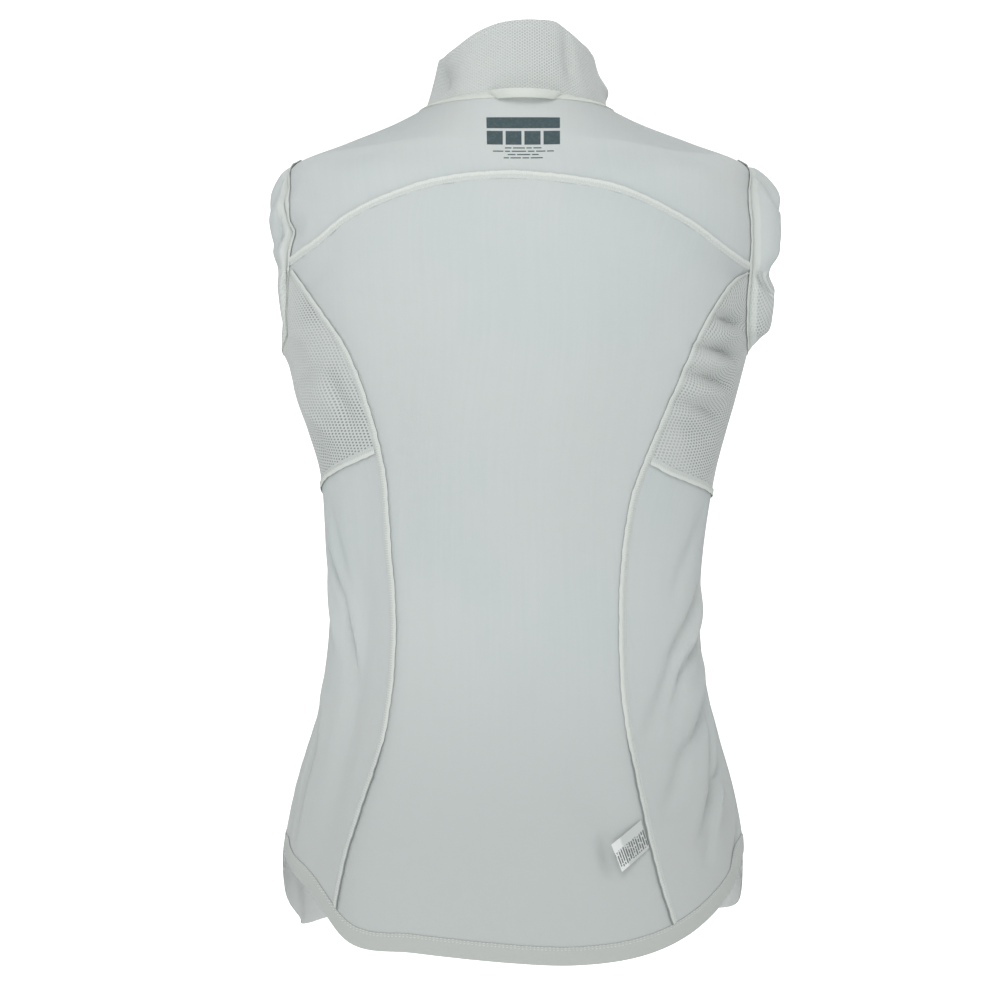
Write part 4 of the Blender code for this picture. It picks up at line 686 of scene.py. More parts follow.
def wall(name, outer, inner, uv, ring=False, back_shift=(0.0, 0.0)):
    """Closed mesh between two grids of points; a ring's rows close on themselves.

    The back's UV lies further on, by back_shift, so that a finish can tell it from the front.
    """
    rows, columns = outer.shape[:2]
    at = np.arange(rows * columns).reshape(rows, columns)
    if ring:
        at = np.column_stack([at, at[:, 0]])
    sides, side_uvs = np.stack([at, at + rows * columns]), np.stack([uv, uv + back_shift])
    corners, corner_uvs = [], []

    def add(*picks):
        """Faces from four arrays of grid places; a place is (on the back or not, row, column)."""
        corners.append(np.stack([sides[pick] for pick in picks], axis=-1).reshape(-1, 4))
        corner_uvs.append(np.stack([side_uvs[pick] for pick in picks], axis=-2).reshape(-1, 2))

    j, i = np.mgrid[0:rows - 1, 0:at.shape[1] - 1]
    add((0, j, i), (0, j, i + 1), (0, j + 1, i + 1), (0, j + 1, i))
    add((1, j + 1, i), (1, j + 1, i + 1), (1, j, i + 1), (1, j, i))
    i = i[0]
    add((0, 0, i), (1, 0, i), (1, 0, i + 1), (0, 0, i + 1))
    add((0, -1, i + 1), (1, -1, i + 1), (1, -1, i), (0, -1, i))
    if not ring:
        j = j[:, 0]
        add((0, j + 1, 0), (1, j + 1, 0), (1, j, 0), (0, j, 0))
        add((0, j, -1), (1, j, -1), (1, j + 1, -1), (0, j + 1, -1))
    mesh = bpy.data.meshes.new(name)
    vertices = np.concatenate([outer.reshape(-1, 3), inner.reshape(-1, 3)])
    mesh.from_pydata(vertices.tolist(), [], np.concatenate(corners).tolist())
    mesh.uv_layers.new(name="UVMap").data.foreach_set("uv", np.concatenate(corner_uvs).ravel())
    shape = bmesh.new()
    shape.from_mesh(mesh)
    return shaded(mesh, shape)


# --- panels ---
def fill(bottom, top, left, right):
    """Spots over a four-sided panel, blended from its edges; rows run from the bottom up."""
    def lengths_share(line):
        along = distances(line)
        return along / along[-1]

    def levels_share(line):
        return (line[:, 1] - line[0, 1]) / (line[-1, 1] - line[0, 1])

    u = ((lengths_share(bottom) + lengths_share(top)) / 2)[None, :, None]
    v = ((levels_share(left) + levels_share(right)) / 2)[:, None, None]
    edges = blend(bottom[None], top[None], v) + blend(left[:, None], right[:, None], u)
    return edges - blend(blend(bottom[0], bottom[-1], u), blend(top[0], top[-1], u), v)


def puckered(turns, levels):
    """Points of a panel, with small ripples beside its seams."""
    points = skin(turns, levels)
    from_left, from_bottom = lengths_along(points, 1), lengths_along(points, 0)
    from_right, from_top = from_left[:, [-1]] - from_left, from_bottom[[-1]] - from_bottom
    beside = np.exp(-(np.minimum(from_left, from_right) / PUCKER_REACH) ** 2)
    below = np.exp(-(from_top / PUCKER_REACH) ** 2)
    height = PUCKER * (ripple(levels, UPRIGHT_PHASE) * beside
                       + ripple(turns * METRES_PER_DEGREE, LEVEL_PHASE) * below)
    return points + skin_normal(turns, levels) * height[..., None]


def with_directions(points, normals):
    """A grid whose places hold six numbers: a point, and its direction off the cloth."""
    return np.concatenate([points, np.broadcast_to(normals, points.shape)], axis=-1)


class Panel:
    """A cut panel: the grid of its points, the grid with their directions, and its piece."""

    def __init__(self, name, bottom, top, left, right, material):
        spots = fill(bottom, top, left, right)
        self.points = puckered(spots[..., 0], spots[..., 1])
        normals = grid_normals(self.points)
        if (normals[..., :2] * self.points[..., :2]).sum() < 0:
            normals = -normals
        self.grid = with_directions(self.points, normals)
        outer = drawn_in(self.points, SEAM_GAP / 2)
        mesh = wall(name + "_cloth", outer, outer - normals * CLOTH_WALL, cloth_coordinates(self.points),
                    back_shift=(BACK_SIDE, 0.0))
        self.piece = add_piece(mesh, material, [name])

    def lines(self, edge, first, last):
        """Lines of cloth that run in from one edge, from one row or column of it to another."""
        lines = {"left": self.grid, "right": self.grid[:, ::-1], "bottom": self.grid.swapaxes(0, 1),
                 "top": self.grid[::-1].swapaxes(0, 1)}[edge]
        step = 1 if last >= first else -1
        return lines[np.arange(first, last + step, step), :REACH_CELLS]


# --- strips that lie across such lines ---
def seam_lengths(lines):
    """Length along the seam to each line that runs in from it."""
    return lengths_along(lines[None, :, 0, :3], 1)[0]


def trimmed(lines, start, end):
    """The lines without a given length at each end, evenly spaced."""
    along = seam_lengths(lines)
    length = along[-1] - start - end
    places = start + length * np.linspace(0, 1, max(int(length / STRIP_STEP), 2) + 1)
    k = np.clip(np.searchsorted(along, places, "right") - 1, 0, len(along) - 2)
    share = ((places - along[k]) / (along[k + 1] - along[k]))[:, None, None]
    return blend(lines[k], lines[k + 1], share)


def fanned(lines):
    """The lines with more of them wherever the next one turns away sharply; the ends meet."""
    fan = []
    inwards = unit(lines[:, 1, :3] - lines[:, 0, :3])
    for here, there, way, next_way in zip(lines, np.roll(lines, -1, axis=0), inwards,
                                          np.roll(inwards, -1, axis=0)):
        turn = math.degrees(math.acos(np.clip(way @ next_way, -1, 1)))
        steps = max(int(turn / FAN_STEP), 1)
        fan += [blend(here, there, share) for share in np.arange(steps) / steps]
    return np.array(fan)


def at_reach(lines, reach):
    """Points and directions at given lengths in from the seam, one row of lengths a line."""
    found = np.empty(reach.shape + (6,))
    for k, lengths in enumerate(lengths_along(lines[..., :3], 1)):
        for axis in range(6):
            found[k, :, axis] = np.interp(reach[k], lengths, lines[k, :, axis])
    inwards = unit(lines[:, 1, :3] - lines[:, 0, :3])[:, None]
    return found[..., :3] + inwards * np.minimum(reach, 0.0)[..., None], unit(found[..., 3:])


Strip = namedtuple("Strip", "piece band")


def strip(name, lines, near, far, material, lift=LIFT, thickness=TRIM_WALL, ring=False, wave=0.0, curl=0.0,
          phase=0.0, drift=None):
    """A band lying on a panel along its edge, rounded across, its far edge uneven and a little curled."""
    along = seam_lengths(lines)[:, None]
    share = np.linspace(0, 1, STRIP_COLUMNS)[None]
    uneven = ripple(along, phase)
    if ring:
        uneven = uneven * np.clip(np.minimum(along, along[-1] - along) / RIPPLE[-1].length, 0, 1)
    edge, rise = far + wave * uneven, 1.0
    if drift:
        edge, rise = edge + look_up(drift, "out", along), look_up(drift, "rise", along)
    points, normals = at_reach(lines, near + (edge - near) * share)
    seated = np.minimum(SEATED + (1 - SEATED) * share / SEATED_REACH, 1.0)
    curled = curl * (1.0 + CURL_WAVE * ripple(along, phase + CURL_PHASE)) * share ** 2
    raised = rise * (lift * seated + curled)
    rounded = np.minimum(SEATED + share ** FILLS_BY, 1.0) * (1 - THINNED * share ** THINS_BY)
    full = raised + thickness * np.minimum(rise, 1.0) * rounded
    uv = np.stack(np.broadcast_arrays(along, (share - 1) * (far - near)), axis=-1)
    outer, inner = points + normals * full[..., None], points + normals * raised[..., None]
    if ring:
        uv = np.concatenate([uv, [uv[0] + (along[-1, 0] + STRIP_STEP, 0.0)]])
    mesh = wall(name + "_strip", *(grid.swapaxes(0, 1) for grid in (outer, inner, uv)), ring,
                back_shift=(0.0, UNDER_EDGE))
    return Strip(add_piece(mesh, material, [name]), with_directions(outer, normals))


Row = namedtuple("Row", "points out across")


def row_on(band, share, lift=0.0):
    """A line along a band's top face at a share of its width, with its directions out and across."""
    step = share * (band.shape[1] - 1)
    low = min(int(step), band.shape[1] - 2)
    points, out = band[..., :3], band[:, low, 3:]
    line = blend(points[:, low], points[:, low + 1], step - low)
    return Row(line + out * lift, out, unit(points[:, low + 1] - points[:, low]))


# --- seam lines shared by the panels ---
def front_edge(level):
    """Turn at which the front panel ends beside the zip."""
    return 180 - turn_at(FRONT_EDGE, level)


def hem_line(first, last, count):
    """Spots along the hem from one turn to another."""
    turns = np.linspace(first, last, count + 1)
    return np.column_stack([turns, look_up(HEM, "level", turns)])


class SideSeams:
    """One side's seam lines as sampled spots, mirrored for the left side."""

    def __init__(self, word):
        self.side = 1 if word == "right" else -1
        princess, side_seam = list(PRINCESS[word]), list(SIDE_SEAM)
        for seam in (princess, side_seam):
            seam[0] = Spot(seam[0].turn, float(look_up(HEM, "level", self.side * seam[0].turn)))
        mesh_seam, armhole = MESH_SEAM[word], ARMHOLE[word]
        side_seam[SIDE_MESH_ROW] = mesh_seam[-1]

        def line(*places):
            return sample(*places) * (self.side, 1)

        self.princess_low = line(princess, LOWER_ROWS, 0, MESH_CORNER_ROW)
        self.princess_high = line(princess, MESH_ROWS, MESH_CORNER_ROW)
        self.mesh_seam = line(mesh_seam, SIDE_COLUMNS)
        self.side_low = line(side_seam, LOWER_ROWS, 0, SIDE_MESH_ROW)
        self.side_high = line(side_seam, MESH_ROWS, SIDE_MESH_ROW)
        self.hole_back = line(armhole, ARMHOLE_BACK_ROWS, YOKE_CORNER_ROW, 0)
        self.hole_under = line(armhole, SIDE_COLUMNS, YOKE_CORNER_ROW, SIDE_CORNER_ROW)
        self.hole_front = line(armhole, TIP_ROW - BODY_ROWS, SIDE_CORNER_ROW)
        self.shoulder = straight((90, TIP_LEVEL), (90, NECK_LEVEL), SHOULDER_ROWS) * (self.side, 1)
        self.hem_side = hem_line(self.princess_low[0, 0], self.side_low[0, 0], SIDE_COLUMNS)


def back_yoke(left, right, knit):
    top = straight((-90, NECK_LEVEL), (90, NECK_LEVEL), BACK_COLUMNS)
    return Panel("back_yoke", sample(YOKE_SEAM, BACK_COLUMNS), top, join(left.hole_back, left.shoulder),
                 join(right.hole_back, right.shoulder), knit)


def back_center(left, right, knit):
    bottom = hem_line(left.princess_low[0, 0], right.princess_low[0, 0], BACK_COLUMNS)
    return Panel("back_center", bottom, sample(YOKE_SEAM, BACK_COLUMNS),
                 join(left.princess_low, left.princess_high), join(right.princess_low, right.princess_high),
                 knit)


def front(name, seams, knit):
    """Front panel: its first column edge is the side seam, armhole and shoulder, its last the zip."""
    outer = join(seams.side_low, seams.side_high, seams.hole_front, seams.shoulder)
    bottom = hem_line(outer[0, 0], seams.side * front_edge(BODY_RINGS[0].level), FRONT_COLUMNS)
    scale = (NECK_LEVEL - bottom[-1, 1]) / (NECK_LEVEL - outer[0, 1])
    levels = NECK_LEVEL - (NECK_LEVEL - outer[:, 1]) * scale
    middle = np.column_stack([seams.side * front_edge(levels), levels])
    return Panel(name, bottom, straight(outer[-1], middle[-1], FRONT_COLUMNS), outer, middle, knit)


# --- seam allowances, hem and zip tapes ---
def armhole_allowance(word, yoke, mesh, front_panel, edge):
    """One overlocked ring on the body side of the armhole, crossing yoke, mesh and front."""
    column = 0 if word == "left" else -1
    tip = yoke.grid[ARMHOLE_BACK_ROWS:ARMHOLE_BACK_ROWS + REACH_CELLS, column][None]
    loop = np.concatenate([yoke.lines(word, 0, ARMHOLE_BACK_ROWS), tip,
                           front_panel.lines("left", TIP_ROW, BODY_ROWS), mesh.lines("top", SIDE_COLUMNS, 0)])
    return strip("seam_armhole_" + word, fanned(loop), SEAM_GAP, ALLOWANCE, edge, lift=RING_LIFT, ring=True,
                 wave=ARMHOLE_WAVE, curl=ARMHOLE_CURL, phase=ARMHOLE_PHASE[word], drift=ARMHOLE_EDGE[word])


def hem_turn_up(sides, back, knit):
    left, right = sides["left"], sides["right"]
    runs = [(left["front"], FRONT_COLUMNS, 0), (left["side"], SIDE_COLUMNS - 1, 0), (back, 1, BACK_COLUMNS),
            (right["side"], 1, SIDE_COLUMNS), (right["front"], 1, FRONT_COLUMNS)]
    line = np.concatenate([panel.lines("bottom", first, last) for panel, first, last in runs])
    beside_tape = TAPE_WIDTH + TAPE_EDGE - FRONT_EDGE + BESIDE
    return strip("hem_turn_up", trimmed(line, beside_tape, beside_tape), SEAM_GAP, HEM_DEPTH, knit,
                 thickness=HEM_WALL, wave=HEM_WAVE, phase=HEM_PHASE)


def seam_allowances(yoke, back, sides, overlock, armhole_edge):
    """Every overlocked allowance, as name: strip."""
    over_hem = HEM_DEPTH + BESIDE
    seams = {"seam_yoke": (yoke.lines("bottom", 0, BACK_COLUMNS), AT_ARMHOLE, AT_ARMHOLE)}
    for word, panels in sides.items():
        edge = panels["front"].lines("left", 0, TIP_ROW + SHOULDER_ROWS)
        seams |= {
            "seam_princess_" + word: (back.lines(word, 0, BODY_ROWS), over_hem, AT_ARMHOLE),
            "seam_mesh_" + word: (panels["side"].lines("top", 0, SIDE_COLUMNS), BESIDE, BESIDE),
            "seam_side_" + word: (edge[:BODY_ROWS + 1], over_hem, AT_ARMHOLE),
            "seam_shoulder_" + word: (edge[TIP_ROW:], AT_ARMHOLE, BESIDE),
        }
    strips = {name: strip(name, trimmed(*seam), OVER_SEAM, ALLOWANCE, overlock, wave=SEAM_WAVE,
                          curl=SEAM_CURL, phase=float(phase))
              for phase, (name, seam) in enumerate(seams.items())}
    for word, panels in sides.items():
        strips["seam_armhole_" + word] = armhole_allowance(word, yoke, panels["mesh"], panels["front"],
                                                           armhole_edge)
    return strips


# --- collar ---
def stand_collar(knit, mesh):
    """Mesh facing outside and knit collar inside, since the jacket is inside out; its own grid."""
    fronts = np.linspace(float(front_edge(NECK_LEVEL)), 90, FRONT_COLUMNS + 1)[:-1]
    turns = np.concatenate([-fronts, np.linspace(-90, 90, BACK_COLUMNS + 1), fronts[::-1]])[None]
    rises = np.concatenate([np.linspace(0, COLLAR_ROLL_FROM, COLLAR_ROWS + 1), COLLAR_ROLL_RISES])[:, None]
    points = collar(turns, rises)
    normals = normals_from(collar, *np.broadcast_arrays(turns, rises), TURN_STEP, RISE_STEP, 0.0, 1.0)
    roll = np.clip((rises - COLLAR_ROLL_FROM) / (1 - COLLAR_ROLL_FROM), 0, 1)
    lean = normals * (COLLAR_ROLL * (1 - np.sqrt(1 - roll ** 2)))[..., None]
    within = COLLAR_WALL + SEAM_GAP
    for node, outer, inner, material in (
            ("collar_facing", points - lean, points - normals * COLLAR_WALL, mesh),
            ("collar_shell", points - normals * within,
             points - normals * (within + COLLAR_WALL) + lean, knit)):
        piece = add_piece(wall(node + "_cloth", outer, inner, cloth_coordinates(points)), material, [node])
    return with_directions(points, normals)


def zip_tape(word, front_panel, collar_grid, weave):
    """Tape along the front edge and up the collar, on the outside because the jacket is inside out."""
    turned = -1 if word == "right" else 1
    line = np.concatenate([front_panel.lines("right", 0, TIP_ROW + SHOULDER_ROWS),
                           collar_grid[1:, ::turned][:, :REACH_CELLS]])
    near = TAPE_EDGE - FRONT_EDGE
    return strip("zip_tape_" + word, trimmed(line, TAPE_EDGE, TAPE_EDGE), near, near + TAPE_WIDTH, weave,
                 thickness=TAPE_WALL)


# --- sleeves ---
def sleeve_rings(cap, under, word):
    """Rings of points down the sleeve, each as long as the armhole's own ring, and their angles."""
    side = 1 if word == "right" else -1
    ring = np.concatenate([cap, under[1:-1]])
    coarse = np.concatenate([cap[::FINER_DOWN], under[FINER_ACROSS:-1:FINER_ACROSS]])
    plane_x = abs(coarse[:, 0].mean())
    low, high = ring.min(axis=0), ring.max(axis=0)
    middle_z = (high[2] + low[2]) / 2
    x, y, z = ring.T
    angles = np.arctan2(y / (high[1] - low[1]), (z - middle_z) / (high[2] - low[2]))
    inward = unit(np.column_stack([0 * x, -y, middle_z - z]))
    rings = [ring + inward * SEAM_GAP + (side * SEAM_GAP, 0, 0)]
    shares = look_up(LIP_SHARES, word, abs(np.degrees(angles)))
    round_it = lengths_along(np.concatenate([ring, ring[:1]])[None], 1)[0]
    seams = np.array([0.0, round_it[len(cap) - 1], round_it[-1]])
    beside = abs(round_it[:-1, None] - seams).min(axis=1)
    pinch = LIP_PINCH * np.cos(math.pi / 2 * np.clip(beside / PINCH_REACH, 0, 1)) ** 2
    for n, lip in enumerate(SLEEVE_LIP, 1):
        share = n / len(SLEEVE_LIP)
        out = shares * (lip.out - pinch * math.sin(math.pi * share))
        rings.append(np.column_stack([blend(x, side * plane_x, share) + side * out, y * lip.across,
                                      middle_z - lip.drop + (z - middle_z) * lip.tall]))
    for n, tube in enumerate(SLEEVE_TUBE, 1):
        middle_y = TUBE_MIDDLE * min(n / TUBE_SETTLES, 1.0)
        inner = np.array((side * tube.inner_x, middle_y, tube.inner_z))
        outer = np.array((side * tube.outer_x, middle_y, tube.outer_z))
        round_tube = np.column_stack([0 * angles, tube.half_width * np.sin(angles), 0 * angles])
        rings.append((inner + outer) / 2 + (inner - outer) / 2 * np.cos(angles)[:, None] + round_tube)
    last = len(rings) - 1
    rows = np.linspace(0, last, last * ROWS_PER_SLEEVE_RING + 1)
    return smooth(np.arange(last + 1), np.array(rings), rows), np.degrees(angles), rows


def sleeve(word, yoke, mesh_panel, front_panel, knit, mesh):
    """Plain top sleeve over the cap and mesh under sleeve below it, seamed where the panels meet."""
    side = 1 if word == "right" else -1
    cap = np.concatenate([yoke.points[:ARMHOLE_BACK_ROWS + 1, 0 if side < 0 else -1],
                          front_panel.points[TIP_ROW - 1:BODY_ROWS - 1:-1, 0]])
    rings, angles, rows = sleeve_rings(cap, mesh_panel.points[-1, ::-1], word)
    round_ring = np.roll(rings, -1, axis=1) - np.roll(rings, 1, axis=1)
    normals = unit(np.cross(np.gradient(rings, axis=0), round_ring)) * side
    height = folded(SLEEVE_FOLDS[word], angles[None], rows[:, None], METRES_PER_SLEEVE_DEGREE,
                    METRES_PER_RING)
    rings = rings + normals * height[..., None]
    seam_at, count = len(cap) - 1, rings.shape[1]
    for cut, picks, material in (("sleeve_top_", np.arange(seam_at + 1), knit),
                                 ("sleeve_under_", np.arange(seam_at, count + 1) % count, mesh)):
        shown = rings[:, picks]
        cloth = wall(cut + word + "_cloth", shown, shown - normals[:, picks] * CLOTH_WALL,
                     cloth_coordinates(shown))
        piece = add_piece(cloth, material, [f"{cut}{word}_{length}" for length in SLEEVE_LENGTHS])


# --- hanger loop, care label and print ---
def off_the_back(node, name, cells, spot_at, lift_at, material):
    """A small sheet held off the back: lift_at gives the way from the skin. Returns its outer grid."""
    columns, rows = cells
    v, u = np.meshgrid(np.linspace(0, 1, rows + 1), np.linspace(0, 1, columns + 1), indexing="ij")
    turn, level = spot_at(u, v)
    out = skin_normal(turn, level)
    inner = bare_skin(turn, level) + lift_at(u, v, out)
    rim = np.clip(np.minimum(np.minimum(u, 1 - u) * columns, np.minimum(v, 1 - v) * rows), 0, 1)
    outer = inner + out * (TRIM_WALL * blend(RIM_SHARE, 1.0, rim))[..., None]
    piece = add_piece(wall(name, outer, inner, cloth_coordinates(outer)), material, [node])
    return outer


def hanger_loop(tape):
    """Tape caught in the neck seam at both ends and bowed away from the back between them."""
    def spot_at(u, v):
        first, last = (blend(low, high, v) for low, high in zip(LOOP_BOTTOM, LOOP_TOP))
        return blend(first, last, u), blend(LOOP_BOTTOM_LEVEL, NECK_LEVEL, v)

    def lift_at(u, v, out):
        bow = blend(LOOP_BOW_BOTTOM, LOOP_BOW_TOP, v) * np.sin(math.pi * u) ** LOOP_BOW_BLUNTNESS
        return out * LOOP_SEAT + bow[..., None] * (0, -1, 0)

    outer = off_the_back("hanger_loop", "hanger_loop_tape", LOOP_CELLS, spot_at, lift_at, tape)
    return with_directions(outer, grid_normals(outer)).swapaxes(0, 1)


def care_label(satin):
    """Folded satin label sewn in at the right princess seam, its free end lifting off the back."""
    seam, free = np.array(LABEL_SEAM)[..., None, None], np.array(LABEL_FREE)[..., None, None]

    def spot_at(u, v):
        return blend(blend(seam[0], seam[1], v), blend(free[0], free[1], v), u)

    def lift_at(u, v, out):
        return out * (LABEL_SEAT + LABEL_RISE * u ** LABEL_CURL * (1 - LABEL_TWIST * v))[..., None]

    off_the_back("care_label", "care_label_satin", LABEL_CELLS, spot_at, lift_at, satin)


def neck_print(ink):
    """Plain printed block below the neck: a bar, a row of squares and rows of dashes."""
    patches = [(PRINT_LEFT, PRINT_RIGHT, PRINT_TOP - PRINT_BAR, PRINT_TOP)]
    pitch = (PRINT_RIGHT - PRINT_LEFT + PRINT_SPACE) / PRINT_SQUARES
    squares_top = PRINT_TOP - PRINT_BAR - PRINT_SPACE
    for x in PRINT_LEFT + pitch * np.arange(PRINT_SQUARES):
        patches.append((x, x + pitch - PRINT_SPACE, squares_top - PRINT_SQUARE, squares_top))
    z = squares_top - PRINT_SQUARE - PRINT_SPACE
    for dashes in PRINT_DASHES:
        x = (PRINT_LEFT + PRINT_RIGHT - sum(dashes) - PRINT_DASH_GAP * (len(dashes) - 1)) / 2
        for length in dashes:
            patches.append((x, x + length, z - PRINT_DASH, z))
            x += length + PRINT_DASH_GAP
        z -= PRINT_DASH_PITCH
    shape = bmesh.new()
    for x0, x1, z0, z1 in patches:
        columns, rows = (max(int(size / PRINT_CELL), 1) for size in (x1 - x0, z1 - z0))
        z, x = np.meshgrid(np.linspace(z0, z1, rows + 1), np.linspace(x0, x1, columns + 1), indexing="ij")
        turn = turn_at(x, z)
        points, out = skin(turn, z), skin_normal(turn, z)
        patch = wall("patch", points + out * PRINT_LIFT, points - out * PRINT_LIFT, cloth_coordinates(points))
        shape.from_mesh(patch)
        bpy.data.meshes.remove(patch)
    return add_piece(shaded(bpy.data.meshes.new("neck_print"), shape), ink)


# --- zip slider and pull tab ---
def rounded_copy(node, body, plastic):
    """The node's own shape with its edges rounded."""
    mesh = bpy.data.objects[node].data.copy()
    mesh.name = node + "_plastic"
    shape = bmesh.new()
    shape.from_mesh(mesh)
    bmesh.ops.remove_doubles(shape, verts=shape.verts, dist=MERGE_DISTANCE)
    bmesh.ops.dissolve_limit(shape, angle_limit=math.radians(1), verts=shape.verts, edges=shape.edges)
    edges = [edge for edge in shape.edges if edge.calc_face_angle(0) > SHARP_ANGLE]
    bmesh.ops.bevel(shape, geom=edges, offset=ZIP_ROUNDING, segments=3, profile=0.5, affect="EDGES",
                    clamp_overlap=True)
    return add_piece(shaded(mesh, shape), plastic, [node], body)


# --- stitches and teeth ---
def add_node(tree, kind, inputs=(), **settings):
    """A node with its settings, and with numbers, colours or other nodes' outputs in its inputs."""
    node = tree.nodes.new(kind)
    for name, value in settings.items():
        setattr(node, name, value)
    for key, value in dict(inputs).items():
        if isinstance(value, bpy.types.NodeSocket):
            tree.links.new(value, node.inputs[key])
        else:
            node.inputs[key].default_value = value
    return node


def stitch_tree():
    """Geometry nodes that set one small rounded bead after another along lines of points."""
    tree = bpy.data.node_groups.new("beads_along_lines", "GeometryNodeTree")
    for name, kind in (("Lines", "Geometry"), ("Pitch", "Float"), ("Size", "Vector"),
                       ("Unevenness", "Float"), ("Finish", "Material")):
        tree.interface.new_socket(name, in_out="INPUT", socket_type="NodeSocket" + kind)
    tree.interface.new_socket("Beads", in_out="OUTPUT", socket_type="NodeSocketGeometry")

    def add(kind, inputs=(), **settings):
        return add_node(tree, kind, inputs, **settings).outputs

    given = add("NodeGroupInput")
    curve = add("GeometryNodeMeshToCurve", {"Mesh": given["Lines"]})
    even = add("GeometryNodeResampleCurve", {"Curve": curve[0], "Length": given["Pitch"]}, mode="LENGTH")
    out = add("GeometryNodeInputNamedAttribute", {"Name": "out"}, data_type="FLOAT_VECTOR")
    run = add("GeometryNodeInputNamedAttribute", {"Name": "run"}, data_type="FLOAT_VECTOR")
    up = add("FunctionNodeAlignRotationToVector", {"Vector": out["Attribute"]}, axis="Z", pivot_axis="AUTO")
    turn = add("FunctionNodeAlignRotationToVector", {"Vector": run["Attribute"], "Rotation": up[0]}, axis="X",
               pivot_axis="Z")
    bead = add("GeometryNodeMeshUVSphere", {"Segments": 6, "Rings": 4, "Radius": 0.5})
    low, high = (add("ShaderNodeMath", {0: 1.0, 1: given["Unevenness"]}, operation=operation)[0]
                 for operation in ("SUBTRACT", "ADD"))
    chance = add("FunctionNodeRandomValue", {2: low, 3: high, "Seed": 7}, data_type="FLOAT")
    size = add("ShaderNodeVectorMath", {0: given["Size"], "Scale": chance[1]}, operation="SCALE")
    placed = add("GeometryNodeInstanceOnPoints", {"Points": even[0], "Instance": bead["Mesh"],
                                                  "Rotation": turn[0], "Scale": size[0]})
    real = add("GeometryNodeRealizeInstances", {0: placed[0]})
    rounded = add("GeometryNodeSetShadeSmooth", {0: real[0]})
    finished = add("GeometryNodeSetMaterial", {0: rounded[0], "Material": given["Finish"]})
    add("NodeGroupOutput", {"Beads": finished[0]})
    return tree


def beads(name, tree, bead, material, rows):
    """Stitches or teeth along rows: their long side lies across the row, turned by the bead's slant."""
    vertices, out, across = (np.concatenate(part) for part in zip(*rows))
    slant = math.radians(bead.slant)
    run = across * math.cos(slant) + np.cross(out, across) * math.sin(slant)
    edges, start = [], 0
    for row in rows:
        end = start + len(row.points)
        edges += zip(range(start, end - 1), range(start + 1, end))
        start = end
    mesh = bpy.data.meshes.new(name + "_lines")
    mesh.from_pydata(vertices.tolist(), edges, [])
    for attribute, values in (("out", out), ("run", run)):
        mesh.attributes.new(attribute, "FLOAT_VECTOR", "POINT").data.foreach_set("vector", values.ravel())
    lines = bpy.data.objects.new(name + "_lines", mesh)
    bpy.context.scene.collection.objects.link(lines)
    modifier = lines.modifiers.new("beads", "NODES")
    modifier.node_group = tree
    inputs = {item.name: item.identifier for item in tree.interface.items_tree if item.in_out == "INPUT"}
    for socket, value in (("Pitch", bead.pitch), ("Size", bead.size), ("Unevenness", bead.unevenness),
                          ("Finish", material)):
        modifier[inputs[socket]] = value
    graph = bpy.context.evaluated_depsgraph_get()
    finished = bpy.data.meshes.new_from_object(lines.evaluated_get(graph), depsgraph=graph)
    finished.name = name
    bpy.data.objects.remove(lines, do_unlink=True)
    add_piece(finished, material)


